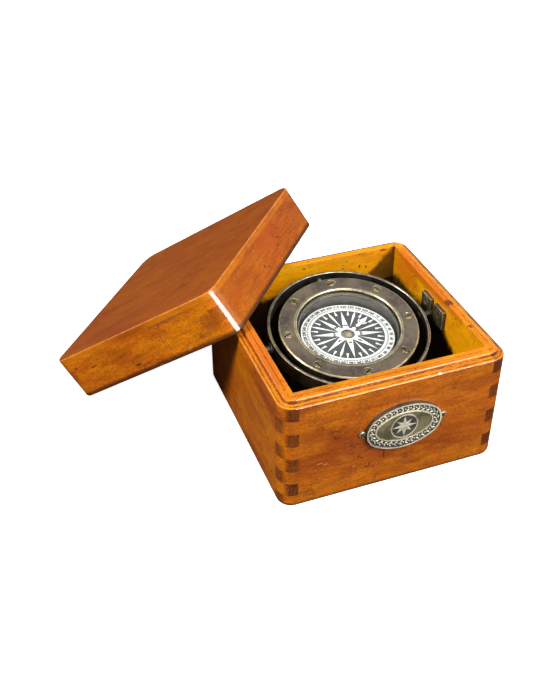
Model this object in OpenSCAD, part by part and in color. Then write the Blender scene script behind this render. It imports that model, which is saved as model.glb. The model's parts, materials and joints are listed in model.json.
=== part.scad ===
// Gimballed compass in a finger-jointed wooden box, its lift-off lid leaning against the back left corner.
// Millimetres. Origin at the middle of the box's underside, +X along the front wall to the right, +Y to the
// back, +Z up.

/* [Box] */
// Outside width and depth of the box
box_w = 137; // [120:1:160]
// Height of the walls up to the outer ledge that the lid sits on
box_h = 73.4; // [66:0.2:90]
// Thickness of the walls
wall_t = 10; // [8:0.5:12]
// Radius of the upright corners
corner_r = 9; // [4:0.5:9.5]
// Rounding of the bottom edges
foot_r = 3; // [1:0.5:4]
// Rounding of the ledge's outer edge
ledge_r = 1; // [0.5:0.1:2]
// Height of the inner lip above the ledge
lip_h = 2.5; // [1.5:0.1:4]
// Distance of the lip from the outside
lip_in = 4; // [3:0.1:5]
// Width and depth of the groove along the middle of the lip's top
lip_groove = [0.6, 0.5]; // [0.3:0.05:1]
// Distance of the groove from the lip's outer side
lip_band = 3; // [2:0.1:4]
// Number of fingers in each corner joint
fingers = 8; // [4:2:12]
// Thickness of the base board
base_t = 6; // [4:0.5:10]

/* [Lid] */
// Height of the lid from its rim to its top
lid_h = 30.2; // [26:0.1:36]
// Part of the top board's thickness that shows on the sides
lid_cap_t = 4; // [3:0.5:6]
// Part of the top board's thickness that is let in between the rails
lid_sink_t = 3; // [1:0.5:4]
// Rounding of the top edges
lid_edge_r = 1; // [0.8:0.1:3]
// Rounding of the rim's outer edge
lid_rim_r = 1; // [0.4:0.1:1.5]
// Depth of the rebate that takes the box's lip
rebate_h = 3; // [2:0.1:4]
// Side clearance between the lip and the rebate
lid_play = 0.3; // [0.2:0.05:0.6]
// Heights of the two finger lines above the rim
lid_finger_lines = [10.8, 20.4]; // [0:0.1:30]
// Turn of the leaning lid about the vertical
lid_yaw = -39.757; // [-60:0.001:-20]
// Lean of the lid
lid_tilt = 35.55; // [30:0.01:45]
// Where the lid's lower edge meets the floor: X and Y of its middle
lid_foot = [-110.34, 121.49]; // [-160:0.01:160]
// Gap left under the lid's lower edge
lid_gap = 0.15; // [0.05:0.01:0.4]

/* [Gimbal] */
// Height of the ring's pivots above the box's underside
pivot_z = 62; // [52:0.5:66]
// Rest tilt of the gimbal ring about X
ring_tilt = 10; // [-20:0.5:20]
// Outer radius of the gimbal ring
ring_r = 49; // [44:0.2:51]
// Thickness of the gimbal ring
ring_t = 1.6; // [1.2:0.1:3]
// Height of the gimbal ring
ring_h = 10; // [6:0.5:14]
// Radius of the outer pivot pins
outer_pin_r = 2; // [1.2:0.1:2.5]
// Radius of the inner pivot pins
inner_pin_r = 1.4; // [1:0.1:1.6]
// Running clearance of the pivots on the radius
run_gap = 0.05; // [0.02:0.01:0.1]
// Thickness of the bracket plates
bracket_t = 2.6; // [2:0.1:6]
// Half width, bottom and top height of the bracket plates
bracket_box = [13.5, 57.5, 70]; // [10:0.5:72]
// Distance of the bracket screws from the slot's middle, and their height
bracket_screw = [8, 66]; // [6:0.1:68]

/* [Bowl] */
// Rest tilt of the bowl in the ring about Y
bowl_tilt = -1.5; // [-15:0.5:15]
// Outer radius of the bezel
bezel_r = 42.2; // [38:0.1:43]
// Radius of the bezel's opening
open_r = 31.2; // [29:0.1:33]
// Thickness of the bezel
bezel_t = 2.6; // [2:0.1:3.5]
// Inner radius of the bowl
bowl_in_r = 30.4; // [28.8:0.1:31]
// Outer radius of the bowl below its flange
bowl_out_r = 34; // [32.5:0.1:36]
// Depth of the bowl below the pivots
bowl_depth = 36; // [28:0.5:40]
// Radius of the screw circle
screw_pcd_r = 37.6; // [36:0.1:38.5]
// Turn of the screw circle
screw_turn = -5.8; // [-22:0.1:22]
// Radius of the recess of each bezel screw
recess_r = 2.75; // [2.5:0.05:3]
// Width of the screw slots
slot_w = 0.9; // [0.5:0.1:1.2]

/* [Card] */
// Radius of the compass card
card_r = 28.4; // [24:0.1:29]
// Thickness of the compass card
card_t = 0.5; // [0.4:0.1:1]
// Height of the card's top face from the pivots
card_z = -2.9; // [-4:0.1:-1]
// Lean of the card in the bowl about X and Y
card_lean = [-6, 2.5]; // [-8:0.1:8]
// Heading of the card
card_turn = 10; // [-180:1:180]

/* [Name plate] */
// Centre of the plate on the front wall: X and Z
plate_at = [4, 43.4]; // [-30:0.1:60]
// Radius and centre distance of the plate's end arcs
plate_end = [12, 11.2]; // [8:0.1:20]
// Radius and centre distance of the plate's long arcs
plate_side = [31.67, 16.17]; // [10:0.01:50]
// Thickness of the plate
plate_t = 2.1; // [1:0.1:2.5]
// Radius and centre distance of the plate's lugs
plate_lug = [2, 25]; // [1.5:0.1:26]

/* [Hidden] */
$fn = 96;
s = box_w / 2;
si = s - wall_t;
k = s - corner_r;
finger_h = box_h / fingers;
wood = [0.72, 0.38, 0.1];
dark_wood = [0.62, 0.3, 0.08];
brass = [0.45, 0.38, 0.24];
dark_brass = [0.36, 0.3, 0.22];
steel = [0.6, 0.6, 0.62];

// Half of a wall section from the middle (u = 0) to the outside (u = w), rounded at the foot and the ledge
module body_profile(w, h, r_low, r_high) {
  translate([0, r_low]) square([w, h - r_low - r_high]);
  square([w - r_low, h]);
  translate([0, h - r_high - 0.01]) square([w - r_high, r_high + 0.01]);
  translate([w - r_low, r_low]) circle(r = r_low);
  translate([w - r_high, h - r_high]) circle(r = r_high);
}

module lip_profile(w) {
  difference() {
    union() {
      translate([0, box_h - 1]) square([w - 0.9, lip_h + 1]);
      translate([0, box_h - 1]) square([w, lip_h + 0.1]);
      translate([w - 0.9, box_h + lip_h - 0.9]) circle(r = 0.9);
    }
    translate([w - lip_band - lip_groove[0] / 2, box_h + lip_h - lip_groove[1]])
      square([lip_groove[0], lip_groove[1] + 1]);
  }
}

module box_profile(w) {
  body_profile(w, box_h, foot_r, ledge_r);
  lip_profile(w - lip_in);
}

module lid_profile(w) {
  body_profile(w, lid_h, lid_rim_r, lid_edge_r);
}

// One side of the rounded shell: the straight run along X in front, and the two front corners
module box_side() {
  translate([-k, 0, 0]) rotate([90, 0, 90]) linear_extrude(2 * k)
    mirror([1, 0]) intersection() {
      box_profile(s);
      translate([si - 1, -1]) square([wall_t + 2, box_h + lip_h + 2]);
    }
  for (x = [-k, k]) translate([x, -k, 0]) rotate_extrude() intersection() {
    box_profile(corner_r);
    translate([0, -1]) square([corner_r + 1, box_h + lip_h + 2]);
  }
}

// The space that the front and back boards take: the slab with a finger out to the side on every second step
module finger_slab(from_top) {
  translate([-si, -s - 1, -1]) cube([2 * si, wall_t + 1, box_h + lip_h + 2]);
  for (i = [0 : fingers - 1]) if (i % 2 == from_top) {
    z0 = i == fingers - 1 ? -1 : box_h - (i + 1) * finger_h;
    z1 = i == 0 ? box_h + lip_h + 1 : box_h - i * finger_h;
    translate([-s - 1, -s - 1, z0]) cube([box_w + 2, wall_t + 1, z1 - z0]);
  }
}

// A board of the box, seen as the front one: odd fingers for the side boards, even ones for front and back
module board(from_top) {
  intersection() {
    union() {
      box_side();
      for (x = [-1, 1]) rotate([0, 0, x * 90]) box_side();
    }
    finger_slab(from_top);
  }
}

module base_board() {
  color(dark_wood) translate([-si, -si, 0]) cube([2 * si, 2 * si, base_t]);
}

module front_wall() {
  color(wood) difference() {
    board(1);
    for (x = [-1, 1]) translate([plate_at[0] + x * 25, -s - 1, plate_at[1]])
      rotate([-90, 0, 0]) cylinder(r = 0.6, h = 7);
  }
}

module back_wall() {
  color(wood) rotate([0, 0, 180]) board(1);
}

module left_wall() {
  color(wood) difference() {
    rotate([0, 0, -90]) board(0);
    for (y = [-1, 1]) translate([-si + 1, y * bracket_screw[0], bracket_screw[1]])
      rotate([0, -90, 0]) cylinder(r = 1.2, h = 7);
  }
}

module right_wall() {
  color(wood) difference() {
    rotate([0, 0, 90]) board(0);
    for (y = [-1, 1]) translate([si - 1, y * bracket_screw[0], bracket_screw[1]])
      rotate([0, 90, 0]) cylinder(r = 1.2, h = 7);
  }
}

// An oval of four arcs, grown by d
module oval(d) {
  lean = plate_end[1] / norm([plate_end[1], plate_side[1]]);
  for (x = [-1, 1]) translate([x * plate_end[1], 0]) circle(r = plate_end[0] + d);
  intersection() {
    translate([0, plate_side[1]]) circle(r = plate_side[0] + d);
    translate([0, -plate_side[1]]) circle(r = plate_side[0] + d);
    square([2 * (plate_end[1] + (plate_end[0] + d) * lean), 60], center = true);
  }
}

module name_plate() {
  color(brass) translate([plate_at[0], -s, plate_at[1]]) rotate([90, 0, 0]) difference() {
    union() {
      linear_extrude(plate_t) oval(0);
      linear_extrude(plate_t + 0.7) difference() {
        oval(0);
        oval(-1.1);
      }
      linear_extrude(plate_t + 0.5) difference() {
        oval(-5.1);
        oval(-6);
      }
      for (x = [-1, 1]) translate([x * plate_lug[1], 0, 0]) cylinder(r = plate_lug[0], h = 1.2);
    }
    for (x = [-1, 1]) translate([x * plate_lug[1], 0, -1]) cylinder(r = 0.6, h = 4);
  }
}

module plate_pins() {
  color(dark_brass) for (x = [-1, 1]) translate([plate_at[0] + x * plate_lug[1], -s, plate_at[1]])
    rotate([90, 0, 0]) {
      translate([0, 0, -5.9]) cylinder(r = 0.6, h = 7.2);
      translate([0, 0, 1.2]) cylinder(r = 1, h = 0.5);
    }
}

// The right-hand bracket; its slot is open at the top and carries the ring's pivot
module bracket() {
  difference() {
    translate([si - bracket_t, -bracket_box[0], bracket_box[1]])
      cube([bracket_t, 2 * bracket_box[0], bracket_box[2] - bracket_box[1]]);
    translate([si - bracket_t - 1, 0, pivot_z]) rotate([0, 90, 0])
      cylinder(r = outer_pin_r + run_gap, h = bracket_t + 2);
    translate([si - bracket_t - 1, -outer_pin_r - run_gap, pivot_z])
      cube([bracket_t + 2, 2 * (outer_pin_r + run_gap), 20]);
    for (y = [-1, 1]) translate([si - bracket_t, y * bracket_screw[0], bracket_screw[1]]) rotate([0, 90, 0]) {
      translate([0, 0, -1]) cylinder(r = 1.2, h = bracket_t + 2);
      translate([0, 0, -1]) cylinder(r = 2.4, h = 2.2);
    }
  }
}

module right_bracket() {
  color(brass) bracket();
}

module left_bracket() {
  color(brass) rotate([0, 0, 180]) bracket();
}

module bracket_screws() {
  color(dark_brass) for (a = [0, 180]) rotate([0, 0, a]) for (y = [-1, 1])
    translate([si - bracket_t, y * bracket_screw[0], bracket_screw[1]]) rotate([0, 90, 0]) difference() {
      union() {
        cylinder(r = 2.4, h = 1.2);
        translate([0, 0, 1]) cylinder(r = 1.2, h = bracket_t + 4.9);
      }
      rotate([0, 0, 35 + 30 * y + a / 4]) cube([6, slot_w, 1.2], center = true);
    }
}

module in_ring() {
  translate([0, 0, pivot_z]) rotate([ring_tilt, 0, 0]) children();
}

module in_bowl() {
  in_ring() rotate([0, bowl_tilt, 0]) children();
}

module in_card() {
  in_bowl() translate([0, 0, card_z + 1.4]) rotate([card_lean[0], card_lean[1], 0])
    rotate([0, 0, card_turn]) translate([0, 0, -card_z - 1.4]) children();
}

module gimbal_ring() {
  ri = ring_r - ring_t;
  h = ring_h / 2;
  color(brass) in_ring() difference() {
    rotate_extrude() polygon([[ri, -h + 0.3], [ri + 0.3, -h], [ring_r - 0.4, -h], [ring_r, -h + 0.4],
      [ring_r, h - 0.4], [ring_r - 0.4, h], [ri + 0.3, h], [ri, h - 0.3]]);
    for (a = [0, 180]) rotate([0, 0, a]) translate([ri - 2, 0, 0]) rotate([0, 90, 0])
      cylinder(r = outer_pin_r, h = ring_t + 4);
    for (a = [90, 270]) rotate([0, 0, a]) translate([ri - 2, 0, 0]) rotate([0, 90, 0])
      cylinder(r = inner_pin_r + run_gap, h = ring_t + 4);
  }
}

module outer_pivots() {
  color(dark_brass) in_ring() for (a = [0, 180]) rotate([0, 0, a]) rotate([0, 90, 0]) {
    translate([0, 0, ring_r - ring_t - 0.6]) cylinder(r = outer_pin_r, h = si - ring_r + ring_t + 0.2);
    translate([0, 0, ring_r + 0.05]) cylinder(r = outer_pin_r + 1.2, h = 1.2);
  }
}

module bowl() {
  color(dark_brass) in_bowl() difference() {
    union() {
      rotate_extrude() bowl_section();
      for (a = [90, 270]) rotate([0, 0, a]) translate([bowl_out_r - 1, 0, 0]) rotate([0, 90, 0])
        cylinder(r = 2.4, h = 10.4);
    }
    for (a = [90, 270]) rotate([0, 0, a]) translate([37, 0, 0]) rotate([0, 90, 0])
      cylinder(r = inner_pin_r, h = 10);
    for (i = [0 : 7]) rotate([0, 0, 45 * i + screw_turn]) translate([screw_pcd_r, 0, 0.2])
      cylinder(r = 1.1, h = 4);
    translate([0, 0, -bowl_depth - 1]) cylinder(r = 1.5, h = 6);
    cylinder(r = bowl_in_r, h = 10);
  }
}

module bowl_section() {
  difference() {
    union() {
      translate([0, -bowl_depth + 8]) square([bowl_out_r, bowl_depth - 8 + 1]);
      translate([0, -bowl_depth]) square([bowl_out_r - 8, 12]);
      intersection() {
        translate([bowl_out_r - 8, -bowl_depth + 8]) circle(r = 8);
        translate([0, -bowl_depth]) square([bowl_out_r, 20]);
      }
      translate([0, -0.8]) square([bezel_r - 0.5, 5.8 - bezel_t]);
    }
    difference() {
      translate([-1, -bowl_depth + 3]) square([bowl_in_r + 1, 60]);
      difference() {
        translate([bowl_in_r - 5, -bowl_depth + 3]) square([6, 5]);
        translate([bowl_in_r - 5, -bowl_depth + 8]) circle(r = 5);
      }
    }
  }
}

module bowl_weight() {
  color(steel) in_bowl() difference() {
    translate([0, 0, -bowl_depth + 3]) cylinder(r = 22, h = 6);
    translate([0, 0, -bowl_depth + 2]) cylinder(r = 4, h = 8);
  }
}

module inner_pivots() {
  color(dark_brass) in_bowl() for (a = [90, 270]) rotate([0, 0, a]) translate([38, 0, 0])
    rotate([0, 90, 0]) cylinder(r = inner_pin_r, h = ring_r - 38 + 0.4);
}

module pivot_post() {
  color(brass) in_bowl() difference() {
    union() {
      translate([0, 0, -bowl_depth + 3]) cylinder(r = 4, h = 6);
      translate([0, 0, -bowl_depth + 9]) cylinder(r = 2.6, h = bowl_depth - 9 - 10);
      translate([0, 0, -bowl_depth - 0.2]) cylinder(r = 1.5, h = 4);
    }
    translate([0, 0, -15]) cylinder(r = 0.7, h = 10);
  }
}

module pivot_needle() {
  tip = card_z + 1.1;
  color(steel) in_bowl() {
    translate([0, 0, -15]) cylinder(r = 0.7, h = 15 + tip - 1.6);
    translate([0, 0, tip - 1.6]) cylinder(r1 = 0.7, r2 = 0.12, h = 1.6);
  }
}

module glass() {
  color([0.8, 0.9, 0.9, 0.3]) in_bowl() translate([0, 0, 5 - bezel_t]) cylinder(r = 32.8, h = 1.2);
}

module glass_gasket() {
  color([0.1, 0.1, 0.1]) in_bowl() translate([0, 0, 5 - bezel_t + 1.2]) difference() {
    cylinder(r = 32.8, h = 0.3);
    translate([0, 0, -1]) cylinder(r = open_r + 0.2, h = 3);
  }
}

module bezel() {
  z0 = 5 - bezel_t;
  color(dark_brass) in_bowl() difference() {
    rotate_extrude() difference() {
      polygon([[open_r, z0], [bezel_r - 0.2, z0], [bezel_r, z0 + 0.2], [bezel_r, 4.3], [bezel_r - 0.7, 5],
        [open_r + 1.7, 5], [open_r + 1.2, 5.35], [open_r + 0.4, 5.35], [open_r, 5]]);
      translate([open_r - 1, z0 - 1]) square([32.8 - open_r + 1, 2.5]);
    }
    for (i = [0 : 7]) rotate([0, 0, 45 * i + screw_turn]) translate([screw_pcd_r, 0, 0]) {
      translate([0, 0, 1]) cylinder(r = 1.1, h = 6);
      translate([0, 0, 5 - 1.3]) cylinder(r = recess_r, h = 3);
    }
  }
}

module bezel_screws() {
  color(brass) in_bowl() for (i = [0 : 7]) rotate([0, 0, 45 * i + screw_turn])
    translate([screw_pcd_r, 0, 0]) difference() {
      union() {
        translate([0, 0, 0.3]) cylinder(r = 1.1, h = 4);
        translate([0, 0, 3.7]) cylinder(r = recess_r - 0.4, h = 1.2);
        translate([0, 0, 4.85]) cylinder(r1 = recess_r - 0.4, r2 = recess_r - 0.75, h = 0.35);
      }
      translate([0, 0, 5.2]) rotate([0, 0, 47 * i + 20]) cube([6, slot_w, 1.3], center = true);
    }
}

module compass_card() {
  color([0.9, 0.9, 0.88]) in_card() difference() {
    translate([0, 0, card_z - card_t]) cylinder(r = card_r, h = card_t);
    translate([0, 0, card_z - 2]) cylinder(r = 2.2, h = 4);
  }
}

module card_cap() {
  color(brass) in_card() difference() {
    union() {
      translate([0, 0, card_z - card_t - 1.5]) cylinder(r = 2.2, h = 3);
      translate([0, 0, card_z]) cylinder(r = 3.4, h = 0.6);
      translate([0, 0, card_z + 0.6]) intersection() {
        translate([0, 0, -0.8]) sphere(r = 2.9);
        cylinder(r = 2.79, h = 3);
      }
    }
    translate([0, 0, card_z - 4]) cylinder(r = 1.5, h = 5.6);
  }
}

module cap_jewel() {
  color([0.6, 0.1, 0.15]) in_card() difference() {
    translate([0, 0, card_z - 0.4]) cylinder(r = 1.5, h = 2);
    translate([0, 0, card_z - 0.5]) cylinder(r1 = 1.35, r2 = 0.3, h = 1.9);
  }
}

module card_magnets() {
  color(steel) in_card() for (x = [-6, 6])
    translate([x - 1.25, -16, card_z - card_t - 2]) cube([2.5, 32, 2]);
}

// The lid's own frame: the middle of its rim plane
module in_lid() {
  translate([lid_foot[0], lid_foot[1], 0]) rotate([0, 0, lid_yaw])
    translate([0, 0, lid_rim_r + lid_gap]) rotate([0, -lid_tilt, 0])
      translate([s - lid_rim_r, 0, -lid_rim_r]) children();
}

module lid_side() {
  translate([-k, 0, 0]) rotate([90, 0, 90]) linear_extrude(2 * k)
    mirror([1, 0]) intersection() {
      lid_profile(s);
      translate([si - 1, -1]) square([wall_t + 2, lid_h + 2]);
    }
  for (x = [-k, k]) translate([x, -k, 0]) rotate_extrude() intersection() {
    lid_profile(corner_r);
    translate([0, -1]) square([corner_r + 1, lid_h + 2]);
  }
}

module rail_slab(side) {
  top = lid_h - lid_cap_t;
  difference() {
    union() {
      translate([-si, -s - 1, -1]) cube([2 * si, wall_t + 1, top + 1]);
      if (side) translate([-s - 1, -s - 1, lid_finger_lines[0]])
        cube([box_w + 2, wall_t + 1, lid_finger_lines[1] - lid_finger_lines[0]]);
      if (!side) {
        translate([-s - 1, -s - 1, -1]) cube([box_w + 2, wall_t + 1, lid_finger_lines[0] + 1]);
        translate([-s - 1, -s - 1, lid_finger_lines[1]])
          cube([box_w + 2, wall_t + 1, top - lid_finger_lines[1]]);
      }
    }
    rebate();
  }
}

// The rebate around the rim that goes over the box's lip
module rebate() {
  w = s - lip_in + lid_play;
  r = corner_r - lip_in + lid_play;
  translate([-w + r, -w, -2]) cube([2 * (w - r), 2 * w, rebate_h + 2]);
  translate([-w, -w + r, -2]) cube([2 * w, 2 * (w - r), rebate_h + 2]);
  for (x = [-1, 1]) for (y = [-1, 1]) translate([x * (w - r), y * (w - r), -2])
    cylinder(r = r, h = rebate_h + 2);
}

module rail(side) {
  intersection() {
    union() {
      lid_side();
      for (x = [-1, 1]) rotate([0, 0, x * 90]) lid_side();
    }
    rail_slab(side);
  }
}

module lid_front_rail() {
  color(wood) in_lid() rail(false);
}

module lid_back_rail() {
  color(wood) in_lid() rotate([0, 0, 180]) rail(false);
}

module lid_left_rail() {
  color(wood) in_lid() rotate([0, 0, -90]) rail(true);
}

module lid_right_rail() {
  color(wood) in_lid() rotate([0, 0, 90]) rail(true);
}

module lid_top_board() {
  color(dark_wood) in_lid() union() {
    intersection() {
      union() {
        for (a = [0, 90, 180, 270]) rotate([0, 0, a]) lid_side();
        translate([-k, -k, 0]) cube([2 * k, 2 * k, lid_h]);
      }
      translate([-s - 1, -s - 1, lid_h - lid_cap_t]) cube([box_w + 2, box_w + 2, lid_cap_t + 1]);
    }
    translate([-si, -si, lid_h - lid_cap_t - lid_sink_t]) cube([2 * si, 2 * si, lid_sink_t + 1]);
  }
}

base_board();
front_wall();
back_wall();
left_wall();
right_wall();
name_plate();
plate_pins();
left_bracket();
right_bracket();
bracket_screws();
gimbal_ring();
outer_pivots();
bowl();
bowl_weight();
inner_pivots();
pivot_post();
pivot_needle();
glass();
glass_gasket();
bezel();
bezel_screws();
compass_card();
card_cap();
cap_jewel();
card_magnets();
lid_top_board();
lid_front_rail();
lid_back_rail();
lid_left_rail();
lid_right_rail();
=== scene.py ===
"""Looks of a gimballed compass in a finger-jointed wooden box with a leaning lift-off lid.

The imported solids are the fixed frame. Each visible one gets its finish here, and those that need eased edges,
a print or a relief are replaced by pieces modelled on them. Sizes in the classes are millimetres, and the
scene itself is in metres.
"""

from __future__ import annotations

import json
import logging
import math
from dataclasses import dataclass, field, replace
from enum import Enum
from functools import reduce

import bmesh
import bpy
from mathutils import Matrix, Vector
from mathutils.bvhtree import BVHTree

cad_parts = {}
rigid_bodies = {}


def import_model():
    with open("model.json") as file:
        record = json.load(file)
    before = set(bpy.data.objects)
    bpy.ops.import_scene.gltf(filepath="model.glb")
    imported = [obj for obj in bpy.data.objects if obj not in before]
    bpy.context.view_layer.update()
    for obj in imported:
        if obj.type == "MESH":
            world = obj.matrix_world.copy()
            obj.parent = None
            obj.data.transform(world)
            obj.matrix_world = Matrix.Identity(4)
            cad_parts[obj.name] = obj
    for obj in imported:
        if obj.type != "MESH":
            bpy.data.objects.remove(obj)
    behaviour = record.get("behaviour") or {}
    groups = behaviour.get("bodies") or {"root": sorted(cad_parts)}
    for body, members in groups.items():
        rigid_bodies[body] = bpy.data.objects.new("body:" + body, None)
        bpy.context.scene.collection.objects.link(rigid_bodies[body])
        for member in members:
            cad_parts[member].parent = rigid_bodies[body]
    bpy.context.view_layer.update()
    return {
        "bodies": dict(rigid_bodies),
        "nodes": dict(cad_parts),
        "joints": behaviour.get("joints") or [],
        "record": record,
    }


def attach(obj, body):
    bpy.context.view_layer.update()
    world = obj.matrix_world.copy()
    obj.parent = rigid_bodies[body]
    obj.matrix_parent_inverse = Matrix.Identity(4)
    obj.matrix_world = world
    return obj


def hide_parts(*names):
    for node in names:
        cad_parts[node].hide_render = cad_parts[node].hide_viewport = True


MM = 0.001
WEAR = "wear"
LOG = logging.getLogger("compass")

Triple = tuple[float, float, float]
Node = bpy.types.Node
Socket = bpy.types.NodeSocket
Material = bpy.types.Material
Shape = bmesh.types.BMesh

HOLE_TONE: Triple = (0.022, 0.006, 0.002)
# Near-black tone of the painted shade in the well of the box
WELL_SHADE_TONE: Triple = (0.008, 0.006, 0.005)
SLOT_GRIME: Triple = (0.012, 0.011, 0.009)
WHITE: Triple = (1.0, 1.0, 1.0)

# Where masks on the box and the lid begin and end, in millimetres of the sub-assembly's own frame
WELL_FACE = (58.55, 58.9)
WELL_RIM = (72.6, 73.3)
BACK_SIDE = (52.0, 60.0)
BACK_FACE = (58.1, 58.4)
ROUND_CORNER = (59.5, 59.5, 0.0)
LEDGE_EDGE = (66.9, 67.5)
LEDGE_TOP = (72.4, 72.8)
LIP_EDGE = (62.7, 63.3)
LIP_TOP = (74.9, 75.2)
LID_EDGE = (67.2, 67.8)
LID_TOP = (28.7, 29.3)
LID_CORNER = (131.0, 133.0)
LIT_EDGE_REACH = (60.0, 64.0)

# Tolerances of the mesh tools, in millimetres and radians
WELD = 0.002
PROBE = 0.06
TOUCH = 0.2
FLAT = math.radians(0.6)
SHARP = math.radians(40.0)
CREASE = math.radians(50.0)


class Grain(Enum):
    """Which way the grain of a board runs in its sub-assembly's own frame."""

    ALONG_X = 0.0
    ALONG_Y = 90.0


class Body(Enum):
    """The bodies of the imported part."""

    BOX = "box"
    RING = "ring"
    BOWL = "bowl"
    CARD = "card"
    LID = "lid"


# Node tools


class Graph:
    """Adds nodes to a node tree and wires them in few words."""

    def __init__(self, tree: bpy.types.NodeTree) -> None:
        """Keeps the tree that the nodes go into."""
        self.tree = tree

    @classmethod
    def emptied(cls, owner: bpy.types.ID) -> Graph:
        """Clears the nodes of a material or a world.

        Args:
            owner: The material or the world.

        Returns:
            Its graph.
        """
        owner.use_nodes = True
        owner.node_tree.nodes.clear()
        return cls(owner.node_tree)

    def add(self, kind: str, inputs: dict | None = None, **settings: object) -> Node:
        """Adds one node.

        Args:
            kind: Its type's name.
            inputs: What goes into its sockets, by name or number.
            settings: Properties to set on it.

        Returns:
            The node.
        """
        node = self.tree.nodes.new(kind if kind.startswith("NodeGroup") else f"ShaderNode{kind}")
        for name, value in settings.items():
            setattr(node, name, value)
        self.feed(node, inputs or {})
        return node

    def feed(self, node: Node, inputs: dict) -> None:
        """Links sockets of a node to others, or sets their constants.

        Args:
            node: The node.
            inputs: An output socket, a number, a vector or a colour for each socket.
        """
        for key, value in inputs.items():
            socket = node.inputs[key]
            if isinstance(value, Socket):
                self.tree.links.new(value, socket)
            else:
                socket.default_value = (*value, 1.0) if socket.type == "RGBA" else value

    def math(self, operation: str, *values: object, clamp: bool = False) -> Socket:
        """Returns the result of a Math node."""
        return self.add("Math", dict(enumerate(values)), operation=operation, use_clamp=clamp).outputs[0]

    def times(self, first: object, second: object) -> Socket:
        """Multiplies two values."""
        return self.math("MULTIPLY", first, second)

    def most(self, *values: object) -> Socket:
        """Finds the greatest of some values."""
        return reduce(lambda one, other: self.math("MAXIMUM", one, other), values)

    def vector(self, operation: str, *values: object, output: int = 0) -> Socket:
        """Returns a result of a Vector Math node."""
        return self.add("VectorMath", dict(enumerate(values)), operation=operation).outputs[output]

    def distance(self, place: object, point: Triple) -> Socket:
        """Measures how far a place is from a fixed point."""
        return self.vector("DISTANCE", place, point, output=1)

    def radius(self, place: object) -> Socket:
        """Measures how far a place is from the Z axis."""
        return self.distance(self.vector("MULTIPLY", place, (1.0, 1.0, 0.0)), (0.0, 0.0, 0.0))

    def part(self, vector: object, axis: int) -> Socket:
        """Takes the number of one axis out of a vector."""
        return self.add("SeparateXYZ", {0: vector}).outputs[axis]

    def mix(self, share: object, first: object, second: object, blend: str = "MIX") -> Socket:
        """Mixes two colours by the share of the second one."""
        inputs = {0: share, 6: first, 7: second}
        return self.add("Mix", inputs, data_type="RGBA", blend_type=blend).outputs[2]

    def remap(self, value: object, low: float, high: float, to_low: float = 0.0,
              to_high: float = 1.0) -> Socket:
        """Moves a value from one range to another with soft ends."""
        inputs = {"Value": value, "From Min": low, "From Max": high, "To Min": to_low, "To Max": to_high}
        return self.add("MapRange", inputs, interpolation_type="SMOOTHSTEP", clamp=True).outputs["Result"]

    def stretch(self, vector: object, scale: float | Triple, shift: float = 0.0) -> Socket:
        """Scales a vector, then moves it by a shift that differs from axis to axis."""
        inputs = {"Vector": vector, "Location": (shift, shift * 0.7, shift * 1.3),
                  "Scale": scale if isinstance(scale, tuple) else (scale,) * 3}
        return self.add("Mapping", inputs).outputs["Vector"]

    def noise(self, vector: object, scale: float | Triple, shift: float = 0.0, detail: float = 2.0,
              roughness: float = 0.5, twist: float = 0.0) -> Socket:
        """Adds a Noise texture.

        Args:
            vector: Where it is read.
            scale: Its scale along each axis, or along all.
            shift: Move of the pattern.
            detail: Number of finer layers.
            roughness: Weight of the finer layers.
            twist: Distortion.

        Returns:
            Its value, near 0.5 on average.
        """
        inputs = {"Vector": self.stretch(vector, scale, shift), "Scale": 1.0, "Detail": detail,
                  "Roughness": roughness, "Distortion": twist}
        return self.add("TexNoise", inputs).outputs[0]

    def by_ray(self, ray: str, others: Socket, these: Socket) -> Socket:
        """Shows one shader to the rays of a kind and another to all others."""
        share = self.add("LightPath").outputs[ray]
        return self.add("MixShader", {0: share, 1: others, 2: these}).outputs[0]


class Effect:
    """A shader node group that is built once and placed in each material with its own values."""

    name = "effect"
    takes: dict[str, str] = {}
    gives: dict[str, str] = {}

    def wire(self, graph: Graph, given: dict[str, Socket]) -> dict[str, Socket]:
        """Builds what is inside the group.

        Args:
            graph: The group's own graph.
            given: What comes in.

        Returns:
            What goes out.
        """
        raise NotImplementedError

    def place(self, graph: Graph, **values: object) -> dict[str, Socket]:
        """Puts the group into a material.

        Args:
            graph: The material's graph.
            values: What goes into each of its inputs.

        Returns:
            Its outputs.
        """
        tree = bpy.data.node_groups.get(self.name)
        if not tree:
            tree = bpy.data.node_groups.new(self.name, "ShaderNodeTree")
            for in_out, sockets in (("INPUT", self.takes), ("OUTPUT", self.gives)):
                for socket, kind in sockets.items():
                    tree.interface.new_socket(name=socket, in_out=in_out, socket_type=f"NodeSocket{kind}")
            inner = Graph(tree)
            inner.add("NodeGroupOutput", self.wire(inner, inner.add("NodeGroupInput").outputs))
        return graph.add("Group", values, node_tree=tree).outputs


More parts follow.
